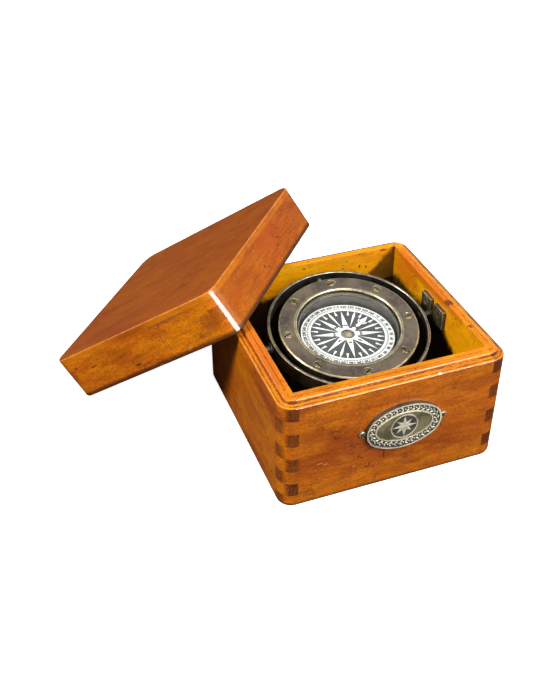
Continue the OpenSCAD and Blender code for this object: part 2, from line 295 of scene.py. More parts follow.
class TimberFigure(Effect):
    """Patches, streaks and pores of a board whose grain runs along X, in millimetres."""

    name = "timber_figure"
    takes = {"Board": "Vector", "End": "Float", "Contrast": "Float", "Gold": "Color", "Honey": "Color",
             "Russet": "Color", "EndTone": "Color"}
    gives = {"Color": "Color", "Pores": "Float"}

    def wire(self, graph: Graph, given: dict[str, Socket]) -> dict[str, Socket]:
        """Builds the figure of the wood from layers of noise.

        Args:
            graph: The group's own graph.
            given: What comes in.

        Returns:
            What goes out.
        """
        board = given["Board"]
        patch = graph.remap(graph.noise(board, (0.016, 0.034, 0.034), 0.0, 3.0, 0.6), 0.40, 0.62)
        shade = graph.remap(graph.noise(board, (0.011, 0.045, 0.045), 7.0, 3.0, 0.6), 0.50, 0.72)
        streak = graph.noise(board, (0.075, 0.50, 0.50), 0.0, 4.0, 0.6, 0.4)
        mottle = graph.noise(board, (0.55, 1.1, 1.1), 3.0, 3.0, 0.72)
        pores = graph.remap(graph.noise(board, (0.28, 3.1, 3.1), 0.0, 2.0, 0.6), 0.57, 0.70)
        blotch = graph.noise(board, (0.055, 0.12, 0.12), 11.0, 3.0, 0.62)
        blotch = graph.remap(blotch, 0.40, 0.62, 0.0, 0.45)
        patch = graph.math("ADD", graph.times(patch, 0.55), blotch)
        tone = graph.mix(patch, given["Honey"], given["Gold"])
        burnt = graph.times(graph.remap(blotch, 0.58, 0.34, 0.35, 1.0), shade)
        tone = graph.mix(graph.times(burnt, 0.9), tone, given["Russet"])
        rough = graph.math("ADD", graph.remap(streak, 0.30, 0.70, -0.13, 0.11),
                           graph.remap(mottle, 0.28, 0.72, -0.20, 0.20))
        rough = graph.math("MULTIPLY_ADD", rough, given["Contrast"], 1.0)
        tone = graph.mix(1.0, tone, rough, "MULTIPLY")
        tone = graph.mix(graph.times(pores, 0.42), tone, given["EndTone"])
        dark = graph.mix(graph.remap(mottle, 0.3, 0.7, 0.0, 0.35), given["EndTone"], tone)
        return {"Color": graph.mix(given["End"], tone, dark), "Pores": pores}


class AgeMarks(Effect):
    """Worm holes, dark squiggles and fine scratches, read in millimetres."""

    name = "age_marks"
    takes = {"Place": "Vector", "Amount": "Float"}
    gives = {"Specks": "Float", "Tracks": "Float", "Scratches": "Float"}

    def wire(self, graph: Graph, given: dict[str, Socket]) -> dict[str, Socket]:
        """Builds each kind of mark from its own texture and a mask that keeps it sparse.

        Args:
            graph: The group's own graph.
            given: What comes in.

        Returns:
            What goes out.
        """
        place = given["Place"]
        sparse = graph.remap(graph.noise(place, 0.05, 5.0), 0.46, 0.60)
        wobble = graph.add("TexNoise", {"Vector": place, "Scale": 0.9})
        bent = graph.vector("ADD", place, wobble.outputs["Color"])
        specks = []
        for size, hole, share in ((0.125, 0.085, 0.45), (0.21, 0.105, 0.40), (0.34, 0.125, 0.22)):
            spread = graph.stretch(bent, size, size * 20)
            cells = graph.add("TexVoronoi", {"Vector": spread, "Scale": 1.0}).outputs
            kept = graph.math("LESS_THAN", graph.part(cells["Color"], 0), share)
            specks.append(graph.times(graph.remap(cells["Distance"], hole * 0.6, hole, 1.0, 0.0), kept))
        wander = graph.noise(place, 0.17, 9.0, 4.0, 0.62, 1.4)
        thin = graph.math("ABSOLUTE", graph.math("SUBTRACT", wander, 0.5))
        rare = graph.remap(graph.noise(place, 0.075, 2.0), 0.60, 0.68)
        lines = graph.noise(place, (0.12, 2.3, 0.5), 4.0, 1.0, 0.5, 0.3)
        masks = {"Specks": graph.times(graph.most(*specks), graph.math("MULTIPLY_ADD", sparse, 0.75, 0.22)),
                 "Tracks": graph.times(graph.remap(thin, 0.004, 0.016, 1.0, 0.0), rare),
                 "Scratches": graph.times(graph.remap(lines, 0.70, 0.76), sparse)}
        amount = given["Amount"]
        return {name: graph.math("MULTIPLY", mask, amount, clamp=True) for name, mask in masks.items()}


class EdgeWear(Effect):
    """Rubbed edges: the eased strip of each edge, broken up by noise."""

    name = "edge_wear"
    takes = {"Edge": "Float", "Place": "Vector", "Amount": "Float"}
    gives = {"Worn": "Float"}

    def wire(self, graph: Graph, given: dict[str, Socket]) -> dict[str, Socket]:
        """Breaks the edge mask up.

        Args:
            graph: The group's own graph.
            given: What comes in.

        Returns:
            What goes out.
        """
        patches = graph.remap(graph.noise(given["Place"], 0.22, 0.0, 4.0, 0.7), 0.34, 0.60, 0.25, 1.0)
        values = (graph.times(given["Edge"], patches), given["Amount"])
        return {"Worn": graph.math("MULTIPLY", *values, clamp=True)}


class Patina(Effect):
    """Cloudy tarnish on brass, with fine machining or rubbing lines, read in millimetres."""

    name = "patina"
    takes = {"Place": "Vector", "Deep": "Color", "Warm": "Color", "Cool": "Color"}
    gives = {"Color": "Color", "Cloud": "Float", "Grit": "Float"}

    def wire(self, graph: Graph, given: dict[str, Socket]) -> dict[str, Socket]:
        """Mixes three tones by clouds of two sizes and adds fine grit.

        Args:
            graph: The group's own graph.
            given: What comes in.

        Returns:
            What goes out.
        """
        cloud = graph.noise(given["Place"], 0.07, 0.0, 4.0, 0.65)
        small = graph.noise(given["Place"], 0.33, 4.0, 4.0, 0.7)
        grit = graph.noise(given["Place"], 2.2, 0.0, 2.0, 0.6)
        tone = graph.mix(graph.remap(cloud, 0.38, 0.62), given["Deep"], given["Warm"])
        tone = graph.mix(graph.remap(small, 0.46, 0.70, 0.0, 0.8), tone, given["Cool"])
        tone = graph.mix(1.0, tone, graph.remap(grit, 0.25, 0.75, 0.84, 1.14), "MULTIPLY")
        return {"Color": tone, "Cloud": cloud, "Grit": grit}


# Finishes


def local(graph: Graph, to_local: Matrix, kind: str = "Object") -> Socket:
    """Reads coordinates in a sub-assembly's own frame.

    Args:
        graph: The material's graph.
        to_local: From metres in the row frame to the wanted frame and unit.
        kind: Object for the place, Normal for the surface's direction.

    Returns:
        The coordinates as a vector.
    """
    inputs = {"Vector": graph.add("TexCoord").outputs[kind], "Rotation": to_local.to_euler("XYZ")}
    if kind == "Normal":
        return graph.add("Mapping", inputs, vector_type="VECTOR").outputs["Vector"]
    inputs |= {"Location": to_local.to_translation(), "Scale": to_local.to_scale()}
    return graph.add("Mapping", inputs).outputs["Vector"]


def new_material(name: str) -> tuple[Material, Graph, Node, Node]:
    """Starts a material.

    Args:
        name: Its name.

    Returns:
        The material, its graph, its Principled shader and its output node.
    """
    material = bpy.data.materials.new(name)
    graph = Graph.emptied(material)
    shader = graph.add("BsdfPrincipled")
    return material, graph, shader, graph.add("OutputMaterial", {"Surface": shader.outputs[0]})


def bump(graph: Graph, height: object, depth: float) -> Socket:
    """Raises the surface by a height from 0 to 1, where 1 stands for a depth in millimetres."""
    return graph.add("Bump", {"Height": height, "Distance": depth * MM, "Strength": 1.0}).outputs[0]


@dataclass(frozen=True)
class Mark:
    """A single stain, scar or bright patch at a place of its own."""

    at: Triple
    size: Triple
    tone: Triple
    strength: float = 0.9


class Zone(Enum):
    """Where a board shows its second set of tones."""

    NOWHERE = 0
    WELL = 1
    TOP = 2


@dataclass(frozen=True)
class Tones:
    """The three colours that a varnished board varies between."""

    gold: Triple
    honey: Triple
    russet: Triple


class Spot:
    """A point of a board as the nodes of its material read it."""

    def __init__(self, graph: Graph, place: Socket, normal: Socket) -> None:
        """Splits the point's place and direction into numbers.

        Args:
            graph: The material's graph.
            place: The place in the sub-assembly's frame, in millimetres.
            normal: The surface's direction there.
        """
        self.graph, self.place = graph, place
        self.x, self.y, self.z = (graph.part(place, axis) for axis in range(3))
        self.up = graph.part(normal, 2)


@dataclass(frozen=True)
class VarnishedWood:
    """Distressed wood under honey-coloured varnish."""

    name: str
    tones: Tones
    second: Tones
    zone: Zone
    end_tone: Triple
    end_share: float
    # Worn edges and scratches; on the high edges that face the lamps this tone is partly a painted highlight.
    rubbed: Triple
    rubbed_sides: tuple[float, float] = (-1.0, -1.0)
    rubbed_height: float = 70.0
    # Painted shade on the worn edges away from the lamps and on the dark lines of the rim and the lid; it also
    # darkens each board towards the bottom.
    grime: Triple = (0.050, 0.016, 0.006)
    grime_height: tuple[float, float] = (1.7, 4.2)
    marks_amount: float = 1.0
    contrast: float = 1.0
    wear: float = 0.6
    coat: float = 0.8
    relief: float = 0.22

    def material(self, board: str, to_frame: Matrix, grain: Grain, seed: float,
                 marks: tuple[Mark, ...] = (), ends: float = 1.0) -> Material:
        """Makes the material of one board.

        Args:
            board: The board's name.
            to_frame: From metres in the row frame to the sub-assembly's frame in millimetres.
            grain: Which way the grain runs there.
            seed: Shift of the pattern.
            marks: Single marks, in the sub-assembly's frame.
            ends: How dark the end grain shows, 0 to 1.

        Returns:
            The material.
        """
        material, graph, shader, _ = new_material(f"{self.name}_{board}")
        turn = Matrix.Rotation(math.radians(-grain.value), 4, "Z")
        shift = Matrix.Translation((seed * 97.0, seed * 41.0, seed * 23.0))
        along = local(graph, shift @ turn @ to_frame)
        normal = local(graph, turn @ to_frame, "Normal")
        spot = Spot(graph, local(graph, to_frame), normal)
        end = graph.math("ABSOLUTE", graph.part(normal, 0))
        zone = self.zone_mask(spot)
        well = self.zone is Zone.WELL
        figure = TimberFigure().place(
            graph, Board=along, End=graph.remap(end, 0.62, 0.90, 0.0, self.end_share * ends),
            Contrast=graph.remap(zone, 0.0, 1.0, self.contrast, 0.5) if well else self.contrast,
            EndTone=self.end_tone, Gold=graph.mix(zone, self.tones.gold, self.second.gold),
            Honey=graph.mix(zone, self.tones.honey, self.second.honey),
            Russet=graph.mix(zone, self.tones.russet, self.second.russet))
        ages = AgeMarks().place(graph, Place=along, Amount=self.marks_amount)
        edge = graph.most(graph.add("Attribute", attribute_name=WEAR).outputs["Fac"], self.slant(spot))
        worn = EdgeWear().place(graph, Edge=edge, Place=along, Amount=self.wear)["Worn"]
        holes = graph.most(ages["Specks"], ages["Tracks"])
        tone = figure["Color"]
        for mark in marks:
            tone = self.marked(spot, tone, mark)
        # Worn edges: bright where they face the lamps, as painted highlight over wear, and dark elsewhere, as
        # painted shade.
        for share, paint in (
            (worn, graph.mix(self.rubbed_mask(spot), self.grime, self.rubbed)),
            (self.rim_grime(spot) if well else self.lid_grime(spot), self.grime),
            # Darker towards the bottom
            (graph.remap(spot.z, *self.grime_height, 0.85, 0.0), self.grime),
            (graph.times(holes, 0.93), HOLE_TONE),
            (graph.times(ages["Scratches"], 0.25), self.rubbed),
        ):
            tone = graph.mix(share, tone, paint)
        waves = graph.noise(along, (0.06, 0.16, 0.16))
        relief = graph.math("SUBTRACT", graph.times(figure["Pores"], -0.16), holes)
        relief = graph.math("ADD", relief, graph.times(waves, 0.9))
        graph.feed(shader, {
            # In the well the colour carries painted shade.
            "Base Color": self.in_shade(spot, tone) if well else tone,
            "Roughness": graph.math("MULTIPLY_ADD", holes, 0.3, graph.remap(waves, 0.3, 0.7, 0.40, 0.52)),
            "Specular IOR Level": 0.08, "Coat Roughness": 0.11, "Coat IOR": 1.5,
            "Coat Weight": graph.remap(edge, 0.05, 0.7, self.coat, 0.25 * self.coat),
            "Normal": bump(graph, relief, self.relief)})
        return material

    def zone_mask(self, spot: Spot) -> object:
        """Finds where the second tones show.

        Args:
            spot: The point.

        Returns:
            The mask, or 0.
        """
        if self.zone is Zone.WELL:
            # Inside the box the second tones carry painted light.
            share = spot.graph.remap(spot.y, *BACK_SIDE, 0.30, 0.85)
            rim = spot.graph.times(spot.graph.remap(spot.z, *WELL_RIM), share)
            return spot.graph.most(self.inside(spot), rim)
        return spot.graph.remap(spot.up, 0.55, 0.95) if self.zone is Zone.TOP else 0.0

    @staticmethod
    def slant(spot: Spot) -> Socket:
        """Masks the middle of the rounded edges between upright and level faces.

        Args:
            spot: The point.

        Returns:
            The mask.
        """
        level = spot.graph.times(spot.up, spot.up)
        slant = spot.graph.times(level, spot.graph.math("SUBTRACT", 1.0, level))
        return spot.graph.remap(slant, 0.17, 0.25, 0.0, 0.75)

    def rubbed_mask(self, spot: Spot) -> Socket:
        """Finds the worn edges that are painted bright: the high ones on the two sides that face the lamps,
        where the rubbed tone is partly a painted highlight.

        Args:
            spot: The point.

        Returns:
            The mask.
        """
        sides = zip((spot.x, spot.y), self.rubbed_sides)
        reach = spot.graph.most(*(spot.graph.times(way, side) for way, side in sides))
        high = spot.graph.remap(spot.z, self.rubbed_height, self.rubbed_height + 1.5)
        return spot.graph.times(spot.graph.remap(reach, *LIT_EDGE_REACH), high)

    @staticmethod
    def lid_grime(spot: Spot) -> Socket:
        """Masks painted shade along the lid's left and back edges and on its far corner.

        Args:
            spot: The point.

        Returns:
            The mask.
        """
        graph = spot.graph
        side = graph.most(graph.math("SUBTRACT", 0.0, spot.x), spot.y)
        rim = graph.times(graph.remap(side, *LID_EDGE, 0.0, 0.8), graph.remap(spot.z, *LID_TOP))
        return graph.most(rim, graph.remap(graph.math("SUBTRACT", spot.y, spot.x), *LID_CORNER, 0.0, 0.6))

    @staticmethod
    def rim_grime(spot: Spot) -> Socket:
        """Masks dark lines on the rim: painted shade in the crease at the foot of the lip and along the right
        and back edges of the ledge and the lip, and a dark line just inside the ledge's outer edge.

        Args:
            spot: The point.

        Returns:
            The mask.
        """
        graph = spot.graph
        past = graph.vector("SUBTRACT", graph.vector("ABSOLUTE", spot.place), ROUND_CORNER)
        reach = graph.radius(graph.vector("MAXIMUM", past, (0.0, 0.0, 0.0)))
        shaky = graph.noise(spot.place, 0.16, 0.0, 3.0, 0.7)
        reach = graph.math("ADD", reach, graph.remap(shaky, 0.3, 0.7, -0.35, 0.35))
        lines = []
        for middle, width, share, high in ((7.55, 0.50, 0.75, (72.6, 73.0)),
                                           (5.2, 0.55, 0.7, (74.2, 74.8, 1.0, 0.0))):
            line = graph.math("ABSOLUTE", graph.math("SUBTRACT", reach, middle))
            line = graph.remap(line, 0.20, width, share, 0.0)
            lines.append(graph.times(line, graph.remap(spot.z, *high)))
        near = graph.times(graph.most(*lines), graph.remap(shaky, 0.34, 0.56, 0.25, 1.0))
        ledge = graph.remap(graph.most(spot.x, spot.y), *LEDGE_EDGE, 0.0, 0.8)
        lip = graph.remap(graph.most(graph.math("SUBTRACT", spot.x, 0.9), spot.y), *LIP_EDGE, 0.0, 0.8)
        return graph.most(near, graph.most(graph.times(ledge, graph.remap(spot.z, *LEDGE_TOP)),
                                           graph.times(lip, graph.remap(spot.z, *LIP_TOP))))

    @staticmethod
    def inside(spot: Spot) -> Socket:
        """Masks the faces that look into the box."""
        sides = spot.graph.most(*(spot.graph.math("ABSOLUTE", way) for way in (spot.x, spot.y)))
        return spot.graph.remap(sides, *WELL_FACE, 1.0, 0.0)

    @staticmethod
    def marked(spot: Spot, tone: Socket, mark: Mark) -> Socket:
        """Paints one mark over the wood, with a ragged outline.

        Args:
            spot: The point.
            tone: The wood's colour.
            mark: The mark.

        Returns:
            The colour with the mark.
        """
        graph = spot.graph
        scale = tuple(1.0 / side for side in mark.size)
        centre = tuple(a * b for a, b in zip(mark.at, scale))
        ragged = graph.math("SUBTRACT", graph.noise(spot.place, 0.8, mark.at[0], 3.0, 0.7), 0.5)
        reach = graph.math("ADD", graph.distance(graph.stretch(spot.place, scale), centre),
                           graph.times(ragged, 1.5))
        return graph.mix(graph.remap(reach, 0.55, 1.0, mark.strength, 0.0), tone, mark.tone)

    def in_shade(self, spot: Spot, tone: Socket) -> Socket:
        """Paints shade into the well of the box: the ring's shadow on the walls, darkness low in the well and
        shade at the back wall's right end.

        Args:
            spot: The point.
            tone: The wood's colour.

        Returns:
            The darkened colour.
        """
        graph = spot.graph
        cloud = graph.remap(graph.noise(spot.place, 0.08, 0.0, 3.0), 0.3, 0.7, -2.5, 2.5)
        height = graph.math("ADD", spot.z, cloud)
        # Painted shadow of the ring: below a height that drops towards the front, and low in the well
        limit = graph.math("MINIMUM", graph.math("MULTIPLY_ADD", spot.y, 0.50, 61.0), 57.0)
        deep = graph.remap(graph.math("SUBTRACT", height, limit), -3.5, 2.5, 0.98, 0.0)
        # Painted shade at the right end of the back wall
        corner = graph.math("SUBTRACT", spot.x, graph.times(height, 0.97))
        corner = graph.times(graph.remap(corner, -19.0, -14.0, 0.0, 0.86), graph.remap(spot.y, *BACK_FACE))
        return graph.mix(graph.times(graph.most(deep, corner), self.inside(spot)), tone, WELL_SHADE_TONE)


@dataclass(frozen=True)
class Band:
    """A bright circle about the Z axis of a round piece, above a height: rubbed brass that also stands as a
    painted highlight line.
    """

    inner: float
    outer: float
    low: float
    share: float = 1.0
    soft: float = 0.08
    soft_low: float = 0.05


@dataclass(frozen=True)
class AgedBrass:
    """Brass with a dark tarnish that is rubbed bright along its edges; its bright bands are partly painted
    highlights.
    """

    name: str
    deep: Triple
    warm: Triple
    cool: Triple
    bright: Triple
    roughness: float = 0.38
    metallic: float = 0.85

    def material(self, piece: str, to_frame: Matrix | None = None, bright_bands: tuple[Band, ...] = (),
                 sunk: tuple[int, float, float] | None = None) -> Material:
        """Makes the material of one piece.

        Args:
            piece: The piece's name.
            to_frame: From metres in the row frame to the piece's frame in millimetres.
            bright_bands: Bright circles about the frame's Z axis: rubbed brass that also stands as painted
                highlight lines.
            sunk: Axis along which slots and recesses sink, the distance from the frame's middle at which
            they are still clean and the one at which they are black with dirt.

        Returns:
            The material.
        """
        material, graph, shader, _ = new_material(f"{self.name}_{piece}")
        place = local(graph, to_frame or Matrix.Scale(1 / MM, 4))
        patina = Patina().place(graph, Place=place, Deep=self.deep, Warm=self.warm, Cool=self.cool)
        tone = patina["Color"]
        if sunk:
            deep = graph.remap(graph.math("ABSOLUTE", graph.part(place, sunk[0])), *sunk[1:])
            tone = graph.mix(deep, tone, SLOT_GRIME)
        edge = graph.most(graph.add("Attribute", attribute_name=WEAR).outputs["Fac"],
                          *(self.band_mask(graph, place, band) for band in bright_bands))
        worn = EdgeWear().place(graph, Edge=edge, Place=place, Amount=1.0)["Worn"]
        rough = graph.math("ADD", graph.remap(patina["Cloud"], 0.3, 0.7, -0.07, 0.09), self.roughness)
        graph.feed(shader, {
            "Base Color": graph.mix(worn, tone, self.bright), "Metallic": self.metallic,
            "Roughness": graph.math("SUBTRACT", rough, graph.times(worn, 0.12)),
            "Normal": bump(graph, patina["Grit"], 0.02)})
        return material

    @staticmethod
    def band_mask(graph: Graph, place: Socket, band: Band) -> Socket:
        """Masks a circle about the Z axis.

        Args:
            graph: The material's graph.
            place: The place in millimetres.
            band: The circle.

        Returns:
            The mask.
        """
        radius = graph.radius(place)
        soft = band.soft
        mask = graph.times(graph.remap(radius, band.inner - soft, band.inner + soft),
                           graph.remap(radius, band.outer - soft, band.outer + soft, band.share, 0.0))
        low, high = band.low - band.soft_low, band.low + band.soft_low
        return graph.times(mask, graph.remap(graph.part(place, 2), low, high))


@dataclass(frozen=True)
class PlainFinish:
    """A finish with one tone, a fine grain and little else to it."""

    name: str
    tone: Triple
    roughness: float
    metallic: float = 0.0
    grain: float = 2.0
    depth: float = 0.01
    spread: float = 0.10

    def material(self) -> Material:
        """Makes the material, or returns it if it is made.

        Returns:
            The material.
        """
        found = bpy.data.materials.get(self.name)
        if found:
            return found
        material, graph, shader, _ = new_material(self.name)
        grit = graph.noise(local(graph, Matrix.Scale(1 / MM, 4)), self.grain, 0.0, 3.0, 0.6)
        shade = graph.remap(grit, 0.25, 0.75, 1.0 - self.spread, 1.0 + self.spread)
        graph.feed(shader, {
            "Base Color": graph.mix(1.0, self.tone, shade, "MULTIPLY"), "Metallic": self.metallic,
            "Roughness": graph.remap(grit, 0.2, 0.8, self.roughness - 0.05, self.roughness + 0.08),
            "Normal": bump(graph, grit, self.depth)})
        return material


@dataclass(frozen=True)
class ClearGlass:
    """Flat glass that lets the lamps reach what is behind it."""

    name: str = "clear_glass"
    tint: Triple = (0.97, 0.985, 0.975)
    passes: Triple = (0.57, 0.58, 0.57)

    def material(self) -> Material:
        """Makes the material.

        Returns:
            The material.
        """
        material, graph, shader, output = new_material(self.name)
        graph.feed(shader, {"Base Color": self.tint, "Roughness": 0.02, "IOR": 1.45,
                            "Transmission Weight": 1.0})
        clear = graph.add("BsdfTransparent", {"Color": self.passes})
        graph.feed(output, {"Surface": graph.by_ray("Is Shadow Ray", shader.outputs[0], clear.outputs[0])})
        return material


OUTER_TONES = Tones(gold=(0.74, 0.210, 0.0040), honey=(0.58, 0.130, 0.0045), russet=(0.37, 0.062, 0.0050))
# Brighter, yellower tones for the faces inside the box and for the rim. Inside the box the wood is yellower,
# and the extra brightness is painted light on the inner walls.
WELL_PAINTED_LIGHT_TONES = Tones(gold=(1.0, 0.48, 0.0020), honey=(1.0, 0.40, 0.0020), russet=(0.86, 0.26, 0.0030))
# Darker tones for the lid's right rail: a shaded copy of the rail tones, painted shade where the fill lamp
# lights that side.
LID_SHADED_SIDE_TONES = Tones(gold=(0.55, 0.145, 0.0030), honey=(0.46, 0.092, 0.0030), russet=(0.34, 0.050, 0.0035))
LID_TONES = Tones(gold=(0.70, 0.210, 0.0030), honey=(0.56, 0.130, 0.0035), russet=(0.38, 0.066, 0.0040))
LID_TOP_TONES = Tones(gold=(0.45, 0.112, 0.0050), honey=(0.38, 0.078, 0.0050), russet=(0.33, 0.058, 0.0050))
CASE_WOOD = VarnishedWood("case_wood", OUTER_TONES, WELL_PAINTED_LIGHT_TONES, Zone.WELL, end_tone=(0.070, 0.015, 0.006),
                          end_share=0.92, rubbed=(0.70, 0.27, 0.12), contrast=1.25)
LID_RAIL_WOOD = VarnishedWood("lid_rail_wood", LID_TONES, LID_TONES, Zone.NOWHERE,
                              end_tone=(0.19, 0.042, 0.008), end_share=0.35, rubbed=(0.85, 0.40, 0.14),
                              rubbed_sides=(1.0, -1.0), rubbed_height=27.0, contrast=1.3, coat=0.5)
LID_SHADED_SIDE_WOOD = replace(LID_RAIL_WOOD, tones=LID_SHADED_SIDE_TONES, second=LID_SHADED_SIDE_TONES)
LID_TOP_WOOD = VarnishedWood("lid_top_wood", LID_TONES, LID_TOP_TONES, Zone.TOP,
                             end_tone=(0.19, 0.042, 0.008), end_share=0.10, rubbed=(0.85, 0.42, 0.18),
                             rubbed_sides=(1.0, -1.0), rubbed_height=27.0, marks_amount=0.5, contrast=0.5,
                             coat=0.6)
DARK_BRASS = AgedBrass("dark_brass", deep=(0.140, 0.112, 0.094), warm=(0.235, 0.192, 0.128),
                       cool=(0.245, 0.212, 0.190), bright=(0.80, 0.70, 0.43), metallic=0.6)
BLACK_BRASS = AgedBrass("black_brass", deep=(0.022, 0.020, 0.017), warm=(0.060, 0.052, 0.036),
                        cool=(0.040, 0.040, 0.036), bright=(0.80, 0.72, 0.50), metallic=0.6)
PIVOT_BRASS = AgedBrass("pivot_brass", deep=(0.022, 0.020, 0.017), warm=(0.050, 0.044, 0.032),
                        cool=(0.036, 0.034, 0.030), bright=(0.16, 0.14, 0.10), roughness=0.5, metallic=0.5)
ANTIQUE_BRASS = AgedBrass("antique_brass", deep=(0.15, 0.120, 0.062), warm=(0.34, 0.275, 0.140),
                          cool=(0.24, 0.20, 0.13), bright=(0.78, 0.68, 0.44), roughness=0.40, metallic=0.55)
OLIVE_BRASS = AgedBrass("olive_brass", deep=(0.070, 0.060, 0.034), warm=(0.170, 0.140, 0.070),
                        cool=(0.115, 0.105, 0.070), bright=(0.66, 0.57, 0.34), roughness=0.40, metallic=0.55)
CAP_BRASS = AgedBrass("cap_brass", deep=(0.110, 0.098, 0.062), warm=(0.240, 0.210, 0.130),
                      cool=(0.300, 0.285, 0.215), bright=(0.80, 0.74, 0.52), roughness=0.27, metallic=0.7)
PLATE_METAL = AgedBrass("plate_metal", deep=(0.165, 0.142, 0.070), warm=(0.27, 0.230, 0.108),
                        cool=(0.30, 0.268, 0.150), bright=(0.83, 0.78, 0.62), roughness=0.40, metallic=0.5)
PLATE_RELIEF = AgedBrass("plate_relief", deep=(0.48, 0.44, 0.33), warm=(0.64, 0.59, 0.44),
                         cool=(0.74, 0.71, 0.58), bright=(0.88, 0.84, 0.68), roughness=0.50, metallic=0.3)
PLATE_GROUND = AgedBrass("plate_ground", deep=(0.030, 0.026, 0.020), warm=(0.055, 0.048, 0.034),
                         cool=(0.08, 0.07, 0.05), bright=(0.3, 0.27, 0.2), roughness=0.6, metallic=0.5)
# Dark brass of the plate's outer side wall: partly its tarnish and partly painted shade at the plate's edge.
PLATE_SHADED_SIDE = AgedBrass("plate_side", deep=(0.050, 0.044, 0.032), warm=(0.115, 0.100, 0.068),
                       cool=(0.085, 0.076, 0.056), bright=(0.60, 0.56, 0.44), roughness=0.5, metallic=0.5)
BOWL_PAINT = PlainFinish("bowl_paint", (0.118, 0.108, 0.096), 0.38, metallic=0.4, grain=0.5, depth=0.002)
CARD_PAPER = PlainFinish("card_paper", (0.45, 0.45, 0.435), 0.55, grain=3.0, spread=0.04)
CARD_INK = PlainFinish("card_ink", (0.044, 0.046, 0.050), 0.6, grain=2.2, spread=0.35)
GREY_INK = PlainFinish("grey_ink", (0.11, 0.115, 0.125), 0.6, grain=2.2, spread=0.2)
STEEL = PlainFinish("steel", (0.5, 0.5, 0.52), 0.3, metallic=1.0)
IRON = PlainFinish("cast_iron", (0.16, 0.16, 0.165), 0.6, metallic=0.6, grain=1.4, depth=0.05)
RUBBER = PlainFinish("black_rubber", (0.02, 0.02, 0.02), 0.75)
RUBY = PlainFinish("ruby", (0.35, 0.01, 0.04), 0.08)


# Mesh tools


def solid_tree(source: bpy.types.Object) -> BVHTree:
    """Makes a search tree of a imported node's surface."""
    corners = [v.co for v in source.data.vertices]
    return BVHTree.FromPolygons(corners, [tuple(p.vertices) for p in source.data.polygons])


def bare_copy(source: bpy.types.Object, beside: tuple[BVHTree, ...] = ()) -> Shape:
    """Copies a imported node's surface into a bmesh with its triangles joined and flat faces made whole.

    Args:
        source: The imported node.
        beside: Surfaces of the boards that are glued to it. A face that lies on one of them gets the
            material index 1.

    Returns:
        The bmesh.
    """
    mesh = bpy.data.meshes.new("bare")
    corners = [tuple(face.vertices) for face in source.data.polygons]
    mesh.from_pydata([v.co for v in source.data.vertices], [], corners)
    bm = bmesh.new()
    bm.from_mesh(mesh)
    bpy.data.meshes.remove(mesh)
    bmesh.ops.remove_doubles(bm, verts=bm.verts, dist=WELD * MM)
    bm.normal_update()
    for face in bm.faces:
        probe = face.calc_center_median() + face.normal * PROBE * MM
        for tree in beside:
            spot, normal, _, reach = tree.find_nearest(probe)
            if reach < TOUCH * MM and (probe - spot).dot(normal) < 0.0:
                face.material_index = 1
    bmesh.ops.dissolve_limit(bm, angle_limit=FLAT, verts=bm.verts, edges=bm.edges,
                             delimit={"MATERIAL"})
    return bm


def round_edges(bm: Shape, edges: list, width: float) -> list:
    """Rounds edges in two steps by a width in millimetres and returns the new faces."""
    return bmesh.ops.bevel(bm, geom=edges, offset=width * MM, offset_type="OFFSET", affect="EDGES",
                           segments=2, profile=0.5, material=-1, clamp_overlap=True)["faces"]


def ease_edges(bm: Shape, width: float) -> None:
    """Rounds the sharp edges of a solid, but not its glued joints, and marks the new strips as worn.

    Args:
        bm: The solid.
        width: Width of the rounding, in millimetres.
    """
    sharp = [e for e in bm.edges if e.is_manifold and e.calc_face_angle(0.0) > SHARP
             and not any(f.material_index for f in e.link_faces)]
    eased = round_edges(bm, sharp, width)
    layer = bm.loops.layers.float.get(WEAR) or bm.loops.layers.float.new(WEAR)
    for face in bm.faces:
        face.material_index = 0
    for face in eased:
        for loop in face.loops:
            loop[layer] = 1.0


def finish_mesh(bm: Shape, name: str, materials: list[Material], place: Matrix | None = None,
                smooth: bool = True) -> bpy.types.Object:
    """Turns a bmesh into an object that sits at the origin.

    Args:
        bm: The shape.
        name: The object's name.
        materials: Its materials, by index.
        place: Where the shape goes, in metres.
        smooth: Whether curved faces are shaded smooth.

    Returns:
        The object.
    """
    bm.transform(place or Matrix())
    for f in bm.faces:
        f.smooth = smooth
    mesh = bpy.data.meshes.new(name)
    bm.to_mesh(mesh)
    bm.free()
    for material in materials:
        mesh.materials.append(material)
    piece = bpy.data.objects.new(name, mesh)
    bpy.context.scene.collection.objects.link(piece)
    if smooth:
        mesh.set_sharp_from_angle(angle=CREASE)
        weigh = piece.modifiers.new("even_normals", "WEIGHTED_NORMAL")
        weigh.keep_sharp, weigh.weight = True, 60
    return piece


def raise_faces(bm: Shape, faces: list, rise: float) -> list:
    """Extrudes faces along Z.

    Args:
        bm: Their bmesh.
        faces: The faces.
        rise: How far, in millimetres.

    Returns:
        The faces of the top.
    """
    grown = bmesh.ops.extrude_face_region(bm, geom=faces)["geom"]
    top = [g for g in grown if isinstance(g, bmesh.types.BMFace)]
    lift(bm, top, rise)
    return top


def lift(bm: Shape, faces: list, rise: float) -> None:
    """Moves faces along Z by a rise in millimetres."""
    verts = list({v for f in faces for v in f.verts})
    bmesh.ops.translate(bm, verts=verts, vec=(0.0, 0.0, rise * MM))


